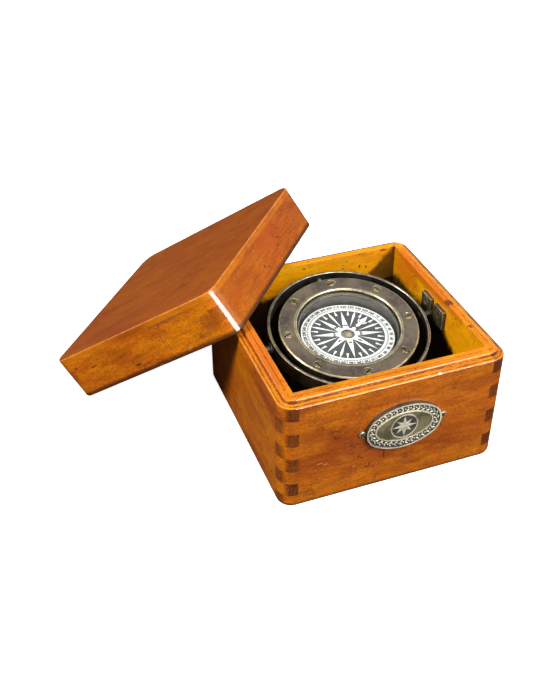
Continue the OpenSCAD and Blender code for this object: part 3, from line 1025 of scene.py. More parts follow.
def flat_ring(inner: float, outer: float, low: float, high: float, steps: int = 128,
              bm: Shape | None = None) -> Shape:
    """Makes a flat ring with a rectangular section.

    Args:
        inner: Its inner radius, in millimetres.
        outer: Its outer radius.
        low: Height of its underside.
        high: Height of its top.
        steps: Number of sides.
        bm: The bmesh that it goes into, if not a new one.

    Returns:
        The bmesh.
    """
    bm = bm or bmesh.new()
    section = ((inner, low), (outer, low), (outer, high), (inner, high))
    face = bm.faces.new([bm.verts.new((r * MM, 0.0, z * MM)) for r, z in section])
    bmesh.ops.spin(bm, geom=[face, *face.edges, *face.verts], cent=(0, 0, 0), axis=(0, 0, 1),
                   angle=math.tau, steps=steps, use_merge=True)
    loose = [f for f in bm.faces if len(f.verts) == 4 and all(abs(v.co.y) < 1e-9 for v in f.verts)]
    bmesh.ops.delete(bm, geom=loose, context="FACES_ONLY")
    bmesh.ops.recalc_face_normals(bm, faces=bm.faces)
    return bm


# Sub-assemblies


@dataclass
class SubAssembly:
    """A group of pieces that ride on one body and share one frame."""

    frame: dict
    body: Body = Body.BOX
    place: Matrix = field(default_factory=Matrix)

    @property
    def to_frame(self) -> Matrix:
        """From metres in the row frame to this sub-assembly's frame in millimetres."""
        return Matrix.Scale(1 / MM, 4) @ self.place.inverted()

    def paint(self, **finishes: Material | PlainFinish | AgedBrass | ClearGlass) -> None:
        """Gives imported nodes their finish.

        Args:
            finishes: A material or a finish for each node, by the node's name.
        """
        for name, finish in finishes.items():
            mesh = self.frame["nodes"][name].data
            mesh.materials.clear()
            mesh.materials.append(self.coated(name, finish))
            LOG.info("%s: painted", name)

    def coated(self, name: str, finish: Material | PlainFinish | AgedBrass | ClearGlass) -> Material:
        """Makes the material of a piece from its finish.

        Args:
            name: The piece's name.
            finish: Its finish, or a material, which stays as it is.

        Returns:
            The material.
        """
        if isinstance(finish, AgedBrass):
            return finish.material(name, self.to_frame)
        return finish if isinstance(finish, Material) else finish.material()

    def add(self, bm: Shape, name: str, slot: str, finishes: list, *nodes: str, smooth: bool = True) -> None:
        """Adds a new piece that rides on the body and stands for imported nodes.

        Args:
            bm: Its shape, in metres in the sub-assembly's frame.
            name: Its name.
            slot: The record's material slot.
            finishes: Its materials or finishes, by index.
            nodes: The nodes that it stands for.
            smooth: Whether curved faces are shaded smooth.
        """
        materials = [self.coated(name, finish) for finish in finishes]
        self.carry(finish_mesh(bm, name, materials, self.place, smooth), slot, *nodes)

    def carry(self, piece: bpy.types.Object, slot: str, *nodes: str) -> None:
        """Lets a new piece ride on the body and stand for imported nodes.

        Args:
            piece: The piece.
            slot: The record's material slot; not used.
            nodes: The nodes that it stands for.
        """
        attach(piece, self.body.value)
        if nodes:
            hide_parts(*nodes)
        LOG.info("%s: %d faces on %s", piece.name, len(piece.data.polygons), self.body.value)

    def eased(self, node: str, slot: str, finish: Material | AgedBrass, width: float = 0.3,
              glued: tuple[str, ...] = ()) -> None:
        """Replaces a node by a copy with eased edges.

        Args:
            node: The node.
            slot: The record's material slot.
            finish: Its material or finish.
            width: Width of the easing, in millimetres.
            glued: Boards that it is jointed to, whose joints stay tight.
        """
        nodes = self.frame["nodes"]
        bm = bare_copy(nodes[node], tuple(solid_tree(nodes[name]) for name in glued if name != node))
        ease_edges(bm, width)
        self.carry(finish_mesh(bm, f"{node}_eased", [self.coated(node, finish)]), slot, node)


@dataclass
class Case(SubAssembly):
    """The box: four finger-jointed walls and the base board."""

    ease: float = 0.28
    marks: tuple[Mark, ...] = (
        Mark((-62.0, -66.5, 73.4), (5.5, 1.6, 1.2), (0.80, 0.40, 0.02)),
        Mark((24.6, -67.6, 73.0), (2.0, 1.1, 0.9), (0.98, 0.80, 0.50)),
        Mark((28.2, -68.2, 72.8), (2.9, 0.9, 0.5), (0.05, 0.015, 0.006)),
        Mark((-6.4, -68.5, 24.2), (0.5, 1.0, 4.6), (0.035, 0.016, 0.010)),
        Mark((-22.2, -68.5, 26.6), (0.6, 1.0, 1.7), (0.06, 0.016, 0.010)),
        Mark((-20.4, -68.5, 25.4), (1.3, 1.0, 0.6), (0.07, 0.018, 0.010)),
        Mark((-16.6, -68.5, 17.4), (2.0, 1.0, 0.7), (0.08, 0.018, 0.010)),
        Mark((-15.4, -68.5, 18.8), (0.6, 1.0, 1.6), (0.05, 0.014, 0.010)),
        Mark((-12.6, -68.5, 15.8), (1.0, 1.0, 0.6), (0.09, 0.018, 0.010)),
        Mark((-24.6, -68.5, 20.0), (1.6, 1.0, 0.4), (0.80, 0.40, 0.12)),
        Mark((-46.0, -68.5, 29.0), (2.4, 1.0, 0.45), (0.80, 0.40, 0.16)),
        Mark((-42.6, -68.5, 27.6), (1.5, 1.0, 0.35), (0.80, 0.40, 0.16)),
    )
    back_marks: tuple[Mark, ...] = (
        Mark((33.7, 58.5, 65.9), (0.9, 1.0, 1.3), (0.045, 0.012, 0.004)),
        Mark((38.4, 58.5, 64.8), (0.9, 1.0, 1.2), (0.045, 0.012, 0.004)),
        Mark((24.4, 58.5, 71.4), (0.6, 1.0, 0.9), (0.10, 0.03, 0.006)),
        Mark((-5.4, 58.5, 72.4), (1.4, 1.0, 0.8), (0.14, 0.04, 0.006)),
        Mark((50.0, 58.5, 75.0), (3.0, 3.0, 1.0), (0.30, 0.07, 0.010)),
    )
    left_marks: tuple[Mark, ...] = (
        Mark((-63.5, 0.0, 76.0), (9.0, 78.0, 4.5), (0.58, 0.115, 0.008), 0.7),
    )
    right_marks: tuple[Mark, ...] = (
        Mark((58.5, 15.0, 75.0), (4.0, 60.0, 5.5), (0.60, 0.110, 0.004), 0.7),
        Mark((58.5, 42.0, 66.0), (3.0, 22.0, 12.0), (0.66, 0.140, 0.004), 0.65),
        Mark((58.5, 28.3, 71.0), (1.0, 0.9, 0.9), (0.05, 0.012, 0.004)),
        Mark((58.5, 31.0, 69.0), (1.0, 0.7, 0.7), (0.05, 0.012, 0.004)),
        Mark((60.0, -12.0, 75.5), (3.0, 4.0, 1.2), (0.10, 0.022, 0.005)),
        Mark((60.0, -38.0, 75.5), (2.0, 2.0, 1.0), (0.07, 0.016, 0.005)),
    )

    def build(self) -> None:
        """Replaces the walls by eased copies and paints the base board."""
        boards = (("front_wall", Grain.ALONG_X, 1.0, self.marks),
                  ("back_wall", Grain.ALONG_X, 2.3, self.back_marks),
                  ("left_wall", Grain.ALONG_Y, 3.1, self.left_marks),
                  ("right_wall", Grain.ALONG_Y, 4.7, self.right_marks))
        names = (*(board[0] for board in boards), "base_board")
        for name, grain, seed, marks in boards:
            ends = 1.0 if grain is Grain.ALONG_Y else 0.85
            material = CASE_WOOD.material(name, self.to_frame, grain, seed, marks, ends)
            self.eased(name, "case_wood", material, self.ease, names)
        self.paint(base_board=CASE_WOOD.material("base_board", self.to_frame, Grain.ALONG_X, 5.0))


@dataclass
class Lid(SubAssembly):
    """The lift-off lid: a top board on four finger-jointed rails."""

    ease: float = 0.3
    front_marks: tuple[Mark, ...] = (
        Mark((30.0, -68.5, 26.2), (20.0, 1.0, 2.2), (0.26, 0.075, 0.030), 0.6),
        Mark((55.0, -68.5, 13.0), (8.0, 1.5, 7.0), (0.27, 0.050, 0.010), 0.50),
        Mark((47.0, -68.5, 7.0), (6.0, 1.0, 2.0), (0.26, 0.050, 0.010), 0.45),
        Mark((0.0, -68.5, 28.2), (6.5, 1.0, 0.8), (0.06, 0.016, 0.006)),
        Mark((-55.5, -68.5, 21.0), (1.5, 1.0, 1.3), (0.13, 0.034, 0.008), 0.7),
        Mark((-41.5, -68.5, 17.6), (3.2, 1.0, 0.7), (0.10, 0.022, 0.008)),
        Mark((-68.0, -68.0, 16.0), (4.0, 2.0, 15.0), (0.16, 0.042, 0.012), 0.8),
        Mark((-10.0, -68.5, 7.0), (4.0, 1.0, 0.8), (0.10, 0.022, 0.008)),
    )
    side_marks: tuple[Mark, ...] = (
        Mark((68.5, 10.0, 20.0), (3.0, 26.0, 8.0), (0.50, 0.075, 0.006), 0.45),
        Mark((68.5, -48.0, 18.0), (3.0, 12.0, 8.0), (0.46, 0.090, 0.006), 0.45),
        Mark((68.5, 20.6, 14.9), (1.0, 1.1, 0.9), (0.10, 0.014, 0.006)),
        Mark((68.5, 15.4, 11.6), (1.0, 1.1, 0.9), (0.10, 0.014, 0.006)),
        Mark((68.5, 24.6, 19.5), (1.0, 1.0, 0.8), (0.12, 0.018, 0.006)),
        Mark((68.5, -10.0, 11.0), (1.0, 1.2, 0.9), (0.10, 0.014, 0.006)),
        Mark((68.5, -5.6, 8.0), (1.0, 1.0, 0.8), (0.12, 0.018, 0.006)),
    )

    def build(self) -> None:
        """Replaces each board of the lid by an eased copy."""
        rails = (("lid_front_rail", Grain.ALONG_X, 1.7, self.front_marks),
                 ("lid_back_rail", Grain.ALONG_X, 2.9, ()), ("lid_left_rail", Grain.ALONG_Y, 3.9, ()),
                 ("lid_right_rail", Grain.ALONG_Y, 6.1, self.side_marks))
        boards = (*(rail[0] for rail in rails), "lid_top_board")
        for name, grain, seed, marks in rails:
            # The right rail gets the shaded copy of the tones as painted shade.
            wood = LID_SHADED_SIDE_WOOD if name == "lid_right_rail" else LID_RAIL_WOOD
            material = wood.material(name, self.to_frame, grain, seed, marks)
            self.eased(name, "case_wood", material, self.ease, boards)
        top = LID_TOP_WOOD.material("lid_top_board", self.to_frame, Grain.ALONG_X, 7.3)
        self.eased("lid_top_board", "lid_wood", top, self.ease, boards)


@dataclass
class NamePlate(SubAssembly):
    """The oval plate on the front wall, with a leaf border and a plain compass star."""

    thickness: float = 2.1
    end_radius: float = 12.0
    end_centre: float = 11.2
    side_centre: float = 16.17
    rim: float = 1.05
    rim_rise: float = 0.65
    band: float = 3.95
    inner_rim: float = 0.85
    inner_rise: float = 0.45
    field_drop: float = 0.35
    wall: float = 0.12
    softening: float = 0.1
    lug: float = 25.0
    lug_radius: float = 2.0
    lug_rise: float = 1.2
    lug_ease: float = 0.25
    leaf_pairs: int = 30
    leaf: tuple[float, float, float] = (1.35, 0.52, 0.60)
    leaf_side: float = 0.95
    leaf_lean: float = 0.75
    bead: tuple[float, float, float] = (0.52, 0.52, 0.50)
    bead_ahead: float = 1.60
    star_reach: tuple[float, ...] = (9.8, 4.0, 8.2, 4.0)
    star_squash: float = 0.92
    star_rise: float = 0.48
    star_ring: tuple[float, float] = (7.7, 8.4)
    star_ring_rise: float = 0.3
    star_disc: float = 8.1
    disc_rise: float = 0.08
    sunk: float = 0.02
    steps: int = 16

    def build(self) -> None:
        """Builds the plate, its lugs, its border and its star."""
        self.plate()
        self.lugs()
        self.border()
        self.star()
        self.paint(plate_pins=PLATE_GROUND)

    def outline(self) -> Shape:
        """Sweeps the arcs of the oval and fills them. They meet on the line through their centres.

        Returns:
            A bmesh with one face.
        """
        bm = bmesh.new()
        join = math.atan2(self.side_centre, self.end_centre)
        first = bm.verts.new(((self.end_centre + self.end_radius) * MM, 0.0, 0.0))
        swept = bmesh.ops.spin(bm, geom=[first], cent=(self.end_centre * MM, 0.0, 0.0), axis=(0, 0, 1),
                               angle=join, steps=self.steps)
        last = [g for g in swept["geom_last"] if isinstance(g, bmesh.types.BMVert)]
        bmesh.ops.spin(bm, geom=last, cent=(0.0, -self.side_centre * MM, 0.0), axis=(0, 0, 1),
                       angle=math.pi / 2 - join, steps=self.steps)
        for flip in ((-1.0, 1.0, 1.0), (1.0, -1.0, 1.0)):
            copy = bmesh.ops.duplicate(bm, geom=bm.verts[:] + bm.edges[:])
            verts = [g for g in copy["geom"] if isinstance(g, bmesh.types.BMVert)]
            bmesh.ops.scale(bm, verts=verts, vec=flip)
        bmesh.ops.remove_doubles(bm, verts=bm.verts, dist=0.01 * MM)
        bmesh.ops.contextual_create(bm, geom=bm.edges[:])
        return bm

    def plate(self) -> None:
        """Builds the plate with its two raised rims and its sunk band and field from one outline."""
        bm = self.outline()
        face = bm.faces[:][0]
        if face.normal.z < 0:
            bmesh.ops.reverse_faces(bm, faces=[face])
        top = raise_faces(bm, [face], self.thickness + self.rim_rise)
        for wall in bm.faces:
            wall.material_index = 0 if wall in top else 3
        for width, rise, shade, wall_shade in ((self.rim, -self.rim_rise, 0, 1),
                                               (self.band, self.inner_rise, 1, 0),
                                               (self.inner_rim, -self.field_drop, 0, 1)):
            for thickness, index in ((width, shade), (self.wall, wall_shade)):
                walls = bmesh.ops.inset_region(bm, faces=top, thickness=thickness * MM, use_even_offset=True)
                for wall in walls["faces"]:
                    wall.material_index = index
            lift(bm, top, rise)
        for f in top:
            f.material_index = 2
        bmesh.ops.recalc_face_normals(bm, faces=bm.faces)
        sharp = [e for e in bm.edges if e.is_manifold and e.calc_face_angle(0.0) > SHARP]
        round_edges(bm, sharp, self.softening)
        # The plate's side wall is partly painted shade.
        finishes = ((PLATE_RELIEF, "rims"), (PLATE_GROUND, "band"), (PLATE_METAL, "field"),
                    (PLATE_SHADED_SIDE, "side"))
        materials = [finish.material(f"plate_{part}", self.to_frame) for finish, part in finishes]
        self.add(bm, "plate_body", "plate_metal", materials, "name_plate")

    def lugs(self) -> None:
        """Builds the two lugs."""
        bm = bmesh.new()
        for side in (-self.lug, self.lug):
            place = Matrix.Translation((side * MM, 0.0, 0.0))
            bmesh.ops.create_circle(bm, cap_ends=True, segments=32, radius=self.lug_radius * MM, matrix=place)
        raise_faces(bm, bm.faces[:], self.lug_rise)
        bmesh.ops.recalc_face_normals(bm, faces=bm.faces)
        ease_edges(bm, self.lug_ease)
        self.add(bm, "plate_lugs", "plate_metal", [PLATE_METAL])

    def border(self) -> None:
        """Lays pairs of leaves with a bead after each pair along the middle of the dark band."""
        guide = self.outline()
        faces = guide.faces[:]
        bmesh.ops.inset_region(guide, faces=faces, thickness=(self.rim + self.wall + self.band / 2) * MM,
                               use_even_offset=True, use_boundary=True)
        path = [loop.vert.co / MM for loop in faces[0].loops]
        guide.free()
        lengths = [(path[(i + 1) % len(path)] - p).length for i, p in enumerate(path)]
        bm = bmesh.new()
        for k in range(self.leaf_pairs):
            target, i = sum(lengths) * k / self.leaf_pairs, 0
            while target > lengths[i]:
                target -= lengths[i]
                i += 1
            heading = (path[(i + 1) % len(path)] - path[i]).normalized()
            spot = path[i] + heading * target
            turn = math.atan2(heading.y, heading.x)
            for side in (-1.0, 1.0):
                across = Vector((-heading.y, heading.x, 0.0)) * side * self.leaf_side
                self.drop(bm, spot + across, self.leaf, turn + side * self.leaf_lean)
            self.drop(bm, spot + heading * self.bead_ahead, self.bead, 0.0)
        self.add(bm, "plate_border", "plate_metal", [PLATE_RELIEF])

    def drop(self, bm: Shape, spot: Vector, size: tuple[float, float, float], turn: float) -> None:
        """Adds a small raised oval.

        Args:
            bm: The bmesh that it goes into.
            spot: Its middle in the plate's plane, in millimetres.
            size: Half its length, width and height.
            turn: Its turn in the plane.
        """
        place = Matrix.Translation(Vector((spot.x, spot.y, self.thickness)) * MM)
        place = place @ Matrix.Rotation(turn, 4, "Z") @ Matrix.Diagonal((*size, 1.0))
        made = bmesh.ops.create_icosphere(bm, subdivisions=1, radius=MM)
        bmesh.ops.transform(bm, matrix=place, verts=made["verts"])

    def star(self) -> None:
        """Builds the faceted compass star, and the thin ring and the dark disc behind it, which is painted
        shade for the relief.
        """
        base = self.thickness + self.inner_rise - self.field_drop - self.sunk
        bm = bmesh.new()
        made = bmesh.ops.create_circle(bm, cap_ends=True, segments=16, radius=MM)
        for i, vert in enumerate(made["verts"]):
            reach = self.star_reach[i % 4]
            bmesh.ops.scale(bm, vec=(reach, reach * self.star_squash, 1.0), verts=[vert])
        poked = bmesh.ops.poke(bm, faces=bm.faces[:])
        bmesh.ops.translate(bm, verts=poked["verts"], vec=(0.0, 0.0, self.star_rise * MM))
        bmesh.ops.contextual_create(bm, geom=[e for e in bm.edges if e.is_boundary])
        bmesh.ops.translate(bm, verts=bm.verts, vec=(0.0, 0.0, base * MM))
        bmesh.ops.recalc_face_normals(bm, faces=bm.faces)
        relief = PLATE_RELIEF.material("plate_star", self.to_frame)
        self.add(bm, "plate_star", "plate_metal", [relief], smooth=False)
        ring = flat_ring(*self.star_ring, base, base + self.star_ring_rise, 64)
        self.add(ring, "plate_star_ring", "plate_metal", [relief])
        # The dark disc is painted shade under the relief of the star.
        bm = bmesh.new()
        bmesh.ops.create_circle(bm, cap_ends=True, segments=64, radius=self.star_disc * MM)
        raise_faces(bm, bm.faces[:], self.disc_rise)
        bmesh.ops.translate(bm, verts=bm.verts, vec=(0.0, 0.0, (base + self.sunk) * MM))
        bmesh.ops.recalc_face_normals(bm, faces=bm.faces)
        self.add(bm, "plate_star_shade_disc", "plate_metal", [PLATE_GROUND])


@dataclass
class Brackets(SubAssembly):
    """The two slotted brackets on the side walls and their screws."""

    screw_slots: tuple[int, float, float] = (0, 56.1, 56.35)
    screw_ease: float = 0.12

    def build(self) -> None:
        """Replaces the brackets and screws by eased copies."""
        for name in ("left_bracket", "right_bracket"):
            self.eased(name, "antique_brass", OLIVE_BRASS)
        screws = OLIVE_BRASS.material("bracket_screws", self.to_frame, sunk=self.screw_slots)
        self.eased("bracket_screws", "antique_brass", screws, self.screw_ease)


@dataclass
class GimbalRing(SubAssembly):
    """The ring with its outer pivots."""

    # Bright circles on the ring's top and edges: rubbed brass and painted highlight lines.
    bands: tuple[Band, ...] = (Band(47.0, 49.4, 4.7, 0.22), Band(48.5, 49.4, 4.4, 0.8),
                               Band(47.0, 47.6, 4.4, 0.4))
    ring_ease: float = 0.25
    pivot_ease: float = 0.2

    def build(self) -> None:
        """Replaces the ring and its pivots by eased copies."""
        ring = BLACK_BRASS.material("gimbal_ring", self.to_frame, self.bands)
        self.eased("gimbal_ring", "dark_brass", ring, self.ring_ease)
        self.eased("outer_pivots", "antique_brass", PIVOT_BRASS, self.pivot_ease)


@dataclass
class Bowl(SubAssembly):
    """The bowl with its bezel, glass, screws, pivots, weight and post."""

    # Bright circles on the bezel's inner lip and outer edge: rubbed brass and painted highlight lines.
    bands: tuple[Band, ...] = (Band(31.0, 33.0, 4.6, 0.30), Band(31.0, 31.6, 4.2, 0.9),
                               Band(32.5, 32.95, 4.7, 0.75), Band(41.6, 42.5, 4.1, 0.85))
    bezel_slots: tuple[int, float, float] = (2, 4.65, 4.35)
    screw_slots: tuple[int, float, float] = (2, 4.88, 4.70)
    bezel_ease: float = 0.2
    screw_ease: float = 0.1
    wall_paint: tuple[float, ...] = (30.15, 30.38, -32.9, 2.3)
    bead: tuple[float, ...] = (29.85, 30.3, 0.5, 0.95)
    bead_ease: float = 0.12

    def build(self) -> None:
        """Dresses the bowl and what it holds, and adds a coat of paint and a bead to its inner wall."""
        bezel = DARK_BRASS.material("bezel", self.to_frame, self.bands, sunk=self.bezel_slots)
        self.eased("bezel", "dark_brass", bezel, self.bezel_ease)
        screws = ANTIQUE_BRASS.material("bezel_screws", self.to_frame, sunk=self.screw_slots)
        self.eased("bezel_screws", "antique_brass", screws, self.screw_ease)
        self.eased("bowl", "dark_brass", BLACK_BRASS)
        self.paint(inner_pivots=ANTIQUE_BRASS, pivot_post=ANTIQUE_BRASS, pivot_needle=STEEL, bowl_weight=IRON,
                   glass=ClearGlass(), glass_gasket=RUBBER)
        self.add(flat_ring(*self.wall_paint), "bowl_wall_paint", "dark_brass", [BOWL_PAINT])
        bead = flat_ring(*self.bead)
        ease_edges(bead, self.bead_ease)
        self.add(bead, "bowl_bead", "dark_brass", [ANTIQUE_BRASS.material("bowl_bead")])


@dataclass
class Card(SubAssembly):
    """The compass card with its print, cap, jewel and magnets.

    A printed shape's corners are given as distance from the card's middle and offset to the side.
    """

    top: float = -2.9
    layer: float = 0.03
    root: float = 0.01
    north: float = 22.5
    field_ring: tuple[float, float] = (4.8, 22.5)
    hub_shade: tuple[float, float] = (3.3, 4.3)
    hub: tuple[float, float] = (3.4, 5.8)
    scale: tuple[float, float] = (23.9, 24.9)
    scale_line: float = 0.2
    figures: float = 26.35
    figure_size: float = 2.7
    letter_height: float = 0.012
    boldness: float = 0.06
    one_letter: tuple[float, float] = (8.6, 3.3)
    two_letters: tuple[float, float] = (8.0, 2.3)
    cap_ease: float = 0.1
    point: tuple = ((5.2, -2.0), (22.1, 0.0), (5.2, 2.0))
    ray: tuple = ((6.8, 0.0), (18.4, -0.80), (22.2, -0.18), (22.2, 0.18), (18.4, 0.80))
    wedge: tuple = ((18.1, -0.78), (22.2, -0.16), (22.2, 0.16), (18.1, 0.78))
    shaft: tuple = ((5.2, -1.3), (14.6, -1.0), (14.6, 1.0), (5.2, 1.3))
    arrow: tuple = ((13.6, 0.0), (16.4, -1.7), (21.9, 0.0), (16.4, 1.7))
    leaf: tuple = ((12.6, 0.7), (14.8, 2.6), (17.2, 3.2), (15.9, 2.0))

    def build(self) -> None:
        """Prints the card and dresses what it carries."""
        self.paint(compass_card=CARD_PAPER)
        self.eased("card_cap", "antique_brass", CAP_BRASS, self.cap_ease)
        self.paint(cap_jewel=RUBY, card_magnets=STEEL)
        self.printed(self.ring(self.field_ring, 0), "card_field", CARD_INK)
        # A grey ring round the cap: a painted shadow of the cap, laid like the print.
        self.printed(self.ring(self.hub_shade, 2), "card_hub_shade", GREY_INK)
        self.rose_print()
        self.letter_print()
        self.scale_print()

    def printed(self, bm: Shape, name: str, finish: PlainFinish) -> None:
        """Lays a printed layer on the card."""
        self.add(bm, name, "card_paper", [finish], smooth=False)

    def ring(self, radii: tuple[float, float], step: int, bm: Shape | None = None) -> Shape:
        """Makes a printed circle that lies on some layers of ink."""
        return flat_ring(*radii, self.top - self.root, self.top + (step + 1) * self.layer, bm=bm)

    def flat(self, bm: Shape, outline: tuple, heading: float, step: int) -> None:
        """Adds a flat printed shape.

        Args:
            bm: The layer.
            outline: Its corners.
            heading: Its direction, in degrees.
            step: How many layers of ink it lies on.
        """
        c, s = math.cos(math.radians(heading)), math.sin(math.radians(heading))
        low = self.top - self.root
        corners = [bm.verts.new(((r * c - w * s) * MM, (r * s + w * c) * MM, low * MM)) for r, w in outline]
        raise_faces(bm, [bm.faces.new(corners)], self.top + (step + 1) * self.layer - low)
        bmesh.ops.recalc_face_normals(bm, faces=bm.faces)

    def rose_print(self) -> None:
        """Prints the hub, the points, rays and small wedges over the field, and the north arrow."""
        bm = self.ring(self.hub, 1)
        for i in range(8):
            heading = self.north + 45.0 * i
            if i:
                self.flat(bm, self.point, heading, 1)
            self.flat(bm, self.ray, heading + 22.5, 1)
            for k in (-11.25, 11.25):
                self.flat(bm, self.wedge, heading + k, 1)
        self.printed(bm, "card_rose", CARD_PAPER)
        bm = bmesh.new()
        leaves = [tuple((r, side * w) for r, w in self.leaf) for side in (-1.0, 1.0)]
        for shape in (self.shaft, self.arrow, *leaves):
            self.flat(bm, shape, self.north, 1)
        self.printed(bm, "card_north", CARD_PAPER)

    def lettered(self, bm: Shape, words: str, radius: float, heading: float, size: float, step: int) -> None:
        """Adds letters or figures that are read from the middle of the card outwards.

        Args:
            bm: The layer.
            words: The letters.
            radius: Distance of their middle from the card's middle.
            heading: Their direction, in degrees.
            size: Their size.
            step: How many layers of ink they lie on.
        """
        curve = bpy.data.curves.new("letters", "FONT")
        curve.body, curve.size, curve.extrude = words, size, self.letter_height
        curve.align_x, curve.align_y = "CENTER", "CENTER"
        curve.offset = self.boldness * size
        curve.resolution_u = 2
        holder = bpy.data.objects.new("letters", curve)
        mesh = bpy.data.meshes.new_from_object(holder)
        place = Matrix.Rotation(math.radians(heading), 4, "Z") @ Matrix.Translation((radius, 0.0, 0.0))
        rise = Matrix.Translation((0.0, 0.0, self.top + (step + 1) * self.layer - self.letter_height))
        mesh.transform(Matrix.Scale(MM, 4) @ rise @ place @ Matrix.Rotation(math.radians(-90.0), 4, "Z"))
        bm.from_mesh(mesh)
        bpy.data.meshes.remove(mesh)
        bpy.data.objects.remove(holder)
        bpy.data.curves.remove(curve)

    def letter_print(self) -> None:
        """Prints the names of the eight directions at the feet of the points."""
        bm = bmesh.new()
        for i, name in enumerate(("N", "NE", "E", "SE", "S", "SW", "W", "NW")):
            radius, size = self.one_letter if len(name) == 1 else self.two_letters
            self.lettered(bm, name, radius, self.north - 45.0 * i, size, 2)
        self.printed(bm, "card_letters", CARD_INK)

    def scale_print(self) -> None:
        """Prints the degree ring: two thin circles, a line at every second degree and the figures."""
        inner, outer = self.scale
        width = self.scale_line
        bm = self.ring((inner, inner + width), 0)
        self.ring((outer - width, outer), 0, bm)
        for i in range(180):
            self.flat(bm, ((inner, -width), (outer, -width), (outer, width), (inner, width)), 2.0 * i, 0)
        self.printed(bm, "card_scale_lines", GREY_INK)
        bm = bmesh.new()
        for i in range(36):
            self.lettered(bm, str(i * 10 or 360), self.figures, self.north - 10.0 * i, self.figure_size, 0)
        self.printed(bm, "card_scale_figures", CARD_INK)


# Studio


def stand(name: str, data: bpy.types.ID, aim: Vector, azimuth: float, elevation: float,
          distance: float) -> bpy.types.Object:
    """Stands a lamp or a camera off a point and turns it to look there.

    Args:
        name: Its name.
        data: The lamp or the camera.
        aim: The point, in metres.
        azimuth: Where it stands, in degrees from the front.
        elevation: How high, in degrees.
        distance: How far from the point, in metres.

    Returns:
        Its object.
    """
    holder = bpy.data.objects.new(name, data)
    bpy.context.scene.collection.objects.link(holder)
    az, el = math.radians(azimuth), math.radians(elevation)
    way = Vector((math.sin(az) * math.cos(el), -math.cos(az) * math.cos(el), math.sin(el)))
    holder.location = aim + way * distance
    holder.rotation_euler = (-way).to_track_quat("-Z", "Y").to_euler()
    return holder


@dataclass
class Softbox:
    """A rectangular lamp that looks at the object, with its sizes in metres."""

    name: str
    azimuth: float
    elevation: float
    distance: float
    size: tuple[float, float]
    power: float
    tone: Triple = WHITE
    gloss_only: bool = False
    aim: tuple[float, float, float] = (-0.03, 0.02, 0.05)

    def build(self) -> None:
        """Adds the lamp."""
        lamp = bpy.data.lights.new(self.name, "AREA")
        lamp.shape = "RECTANGLE"
        lamp.size, lamp.size_y = self.size
        lamp.energy, lamp.color = self.power, self.tone
        holder = stand(self.name, lamp, Vector(self.aim), self.azimuth, self.elevation, self.distance)
        holder.visible_diffuse = not self.gloss_only


@dataclass
class Studio:
    """The camera, the lamps, the floor and the white surroundings."""

    azimuth: float = -20.566
    elevation: float = 36.996
    distance: float = 600.691
    target: tuple[float, float, float] = (-34.755, 23.981, 40.0)
    focal_px: float = 963.668
    picture_height: int = 700
    sensor: float = 36.0
    lamps: tuple[Softbox, ...] = (
        Softbox("key_light", 13.0, 48.0, 2.0, (1.2, 1.2), 38.0, (1.0, 0.98, 0.95)),
        Softbox("left_light", -91.0, 42.0, 2.2, (0.62, 0.62), 44.5, (1.0, 0.99, 0.97)),
        Softbox("fill_light", 58.0, 30.0, 1.8, (1.4, 1.4), 11.0),
        Softbox("strip_light", 20.0, 13.0, 1.3, (0.70, 0.42), 40.0, gloss_only=True),
        Softbox("back_strip", -141.0, 22.0, 1.5, (0.5, 0.3), 5.0, gloss_only=True),
        Softbox("back_light", 128.0, 18.0, 2.2, (1.0, 1.0), 8.0, (1.0, 0.98, 0.95)),
    )

    def build(self) -> None:
        """Sets up the whole studio."""
        self.camera()
        self.floor()
        self.world()
        for lamp in self.lamps:
            lamp.build()

    def camera(self) -> None:
        """Puts the camera where the photograph was taken from."""
        data = bpy.data.cameras.new("camera")
        data.sensor_fit, data.sensor_height = "VERTICAL", self.sensor
        data.lens = self.focal_px * self.sensor / self.picture_height
        data.clip_start = 0.01
        target, distance = Vector(self.target) * MM, self.distance * MM
        bpy.context.scene.camera = stand("camera", data, target, self.azimuth, self.elevation, distance)

    @staticmethod
    def floor() -> None:
        """Lays a plain pale floor, which the object's gloss sees as a dark one."""
        bm = bmesh.new()
        bmesh.ops.create_grid(bm, x_segments=1, y_segments=1, size=4.0)
        material, graph, shader, output = new_material("floor")
        graph.feed(shader, {"Base Color": (0.9, 0.9, 0.9), "Roughness": 0.9, "Specular IOR Level": 0.0,
                            "Emission Color": WHITE, "Emission Strength": 0.92})
        dim, dark = (graph.add("BsdfDiffuse", {"Color": (tone,) * 3}).outputs[0] for tone in (0.10, 0.03))
        lit = graph.by_ray("Is Glossy Ray", dim, dark)
        graph.feed(output, {"Surface": graph.by_ray("Is Camera Ray", lit, shader.outputs[0])})
        finish_mesh(bm, "floor", [material], smooth=False)

    @staticmethod
    def world() -> None:
        """Makes the surroundings white to the eye and a soft grey to the object."""
        world = bpy.data.worlds.new("surroundings")
        bpy.context.scene.world = world
        graph = Graph.emptied(world)
        lit, mirrored, seen = (graph.add("Background", {"Color": WHITE, "Strength": strength}).outputs[0]
                               for strength in (0.035, 0.24, 1.0))
        lit = graph.by_ray("Is Glossy Ray", lit, mirrored)
        graph.add("OutputWorld", {"Surface": graph.by_ray("Is Camera Ray", lit, seen)})
        bpy.context.scene.view_settings.view_transform = "Standard"


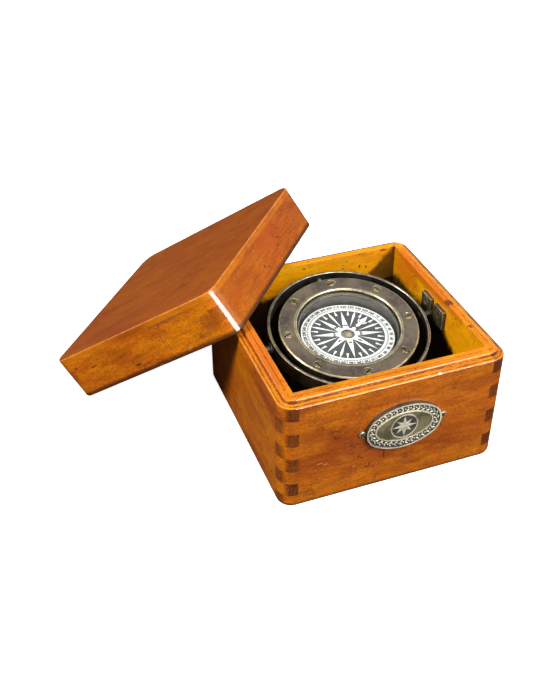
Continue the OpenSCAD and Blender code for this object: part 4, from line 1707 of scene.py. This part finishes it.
@dataclass(frozen=True)
class Places:
    """Where each sub-assembly's own frame is, as the solids have it."""

    pivot_z: float = 62.0
    ring_tilt: float = 10.0
    bowl_tilt: float = -1.5
    card_rise: float = -1.5
    card_lean: tuple[float, float] = (-6.0, 2.5)
    card_turn: float = 10.0
    lid_foot: tuple[float, float] = (-110.34, 121.49)
    lid_yaw: float = -39.757
    lid_tilt: float = 35.55
    lid_rim: float = 1.0
    lid_gap: float = 0.15
    half: float = 68.5
    plate: tuple[float, float, float] = (4.0, -68.5, 43.4)

    @staticmethod
    def move(x: float, y: float, z: float) -> Matrix:
        """Returns a move in millimetres."""
        return Matrix.Translation(Vector((x, y, z)) * MM)

    @staticmethod
    def turn(degrees: float, axis: str) -> Matrix:
        """Returns a turn about an axis."""
        return Matrix.Rotation(math.radians(degrees), 4, axis)

    def ring(self) -> Matrix:
        """Returns the gimbal ring's frame."""
        return self.move(0, 0, self.pivot_z) @ self.turn(self.ring_tilt, "X")

    def bowl(self) -> Matrix:
        """Returns the bowl's frame."""
        return self.ring() @ self.turn(self.bowl_tilt, "Y")

    def card(self) -> Matrix:
        """Returns the card's frame."""
        lean = self.turn(self.card_lean[1], "Y") @ self.turn(self.card_lean[0], "X")
        return (self.bowl() @ self.move(0, 0, self.card_rise) @ lean @ self.turn(self.card_turn, "Z")
                @ self.move(0, 0, -self.card_rise))

    def lid(self) -> Matrix:
        """Works out the frame at the middle of the lid's rim plane.

        Returns:
            The frame.
        """
        foot = self.move(*self.lid_foot, 0) @ self.turn(self.lid_yaw, "Z")
        lean = self.move(0, 0, self.lid_rim + self.lid_gap) @ self.turn(-self.lid_tilt, "Y")
        return foot @ lean @ self.move(self.half - self.lid_rim, 0, -self.lid_rim)

    def name_plate(self) -> Matrix:
        """Returns the plate's frame, with its face along +Z."""
        return self.move(*self.plate) @ self.turn(90, "X")


def main() -> None:
    """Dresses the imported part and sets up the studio."""
    logging.basicConfig(level=logging.INFO, format="%(name)s: %(message)s")
    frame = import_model()
    places = Places()
    Studio().build()
    for assembly in (
        Case(frame),
        NamePlate(frame, place=places.name_plate()),
        Brackets(frame),
        GimbalRing(frame, Body.RING, places.ring()),
        Bowl(frame, Body.BOWL, places.bowl()),
        Card(frame, Body.CARD, places.card()),
        Lid(frame, Body.LID, places.lid()),
    ):
        assembly.build()


if __name__ == "__main__":
    main()
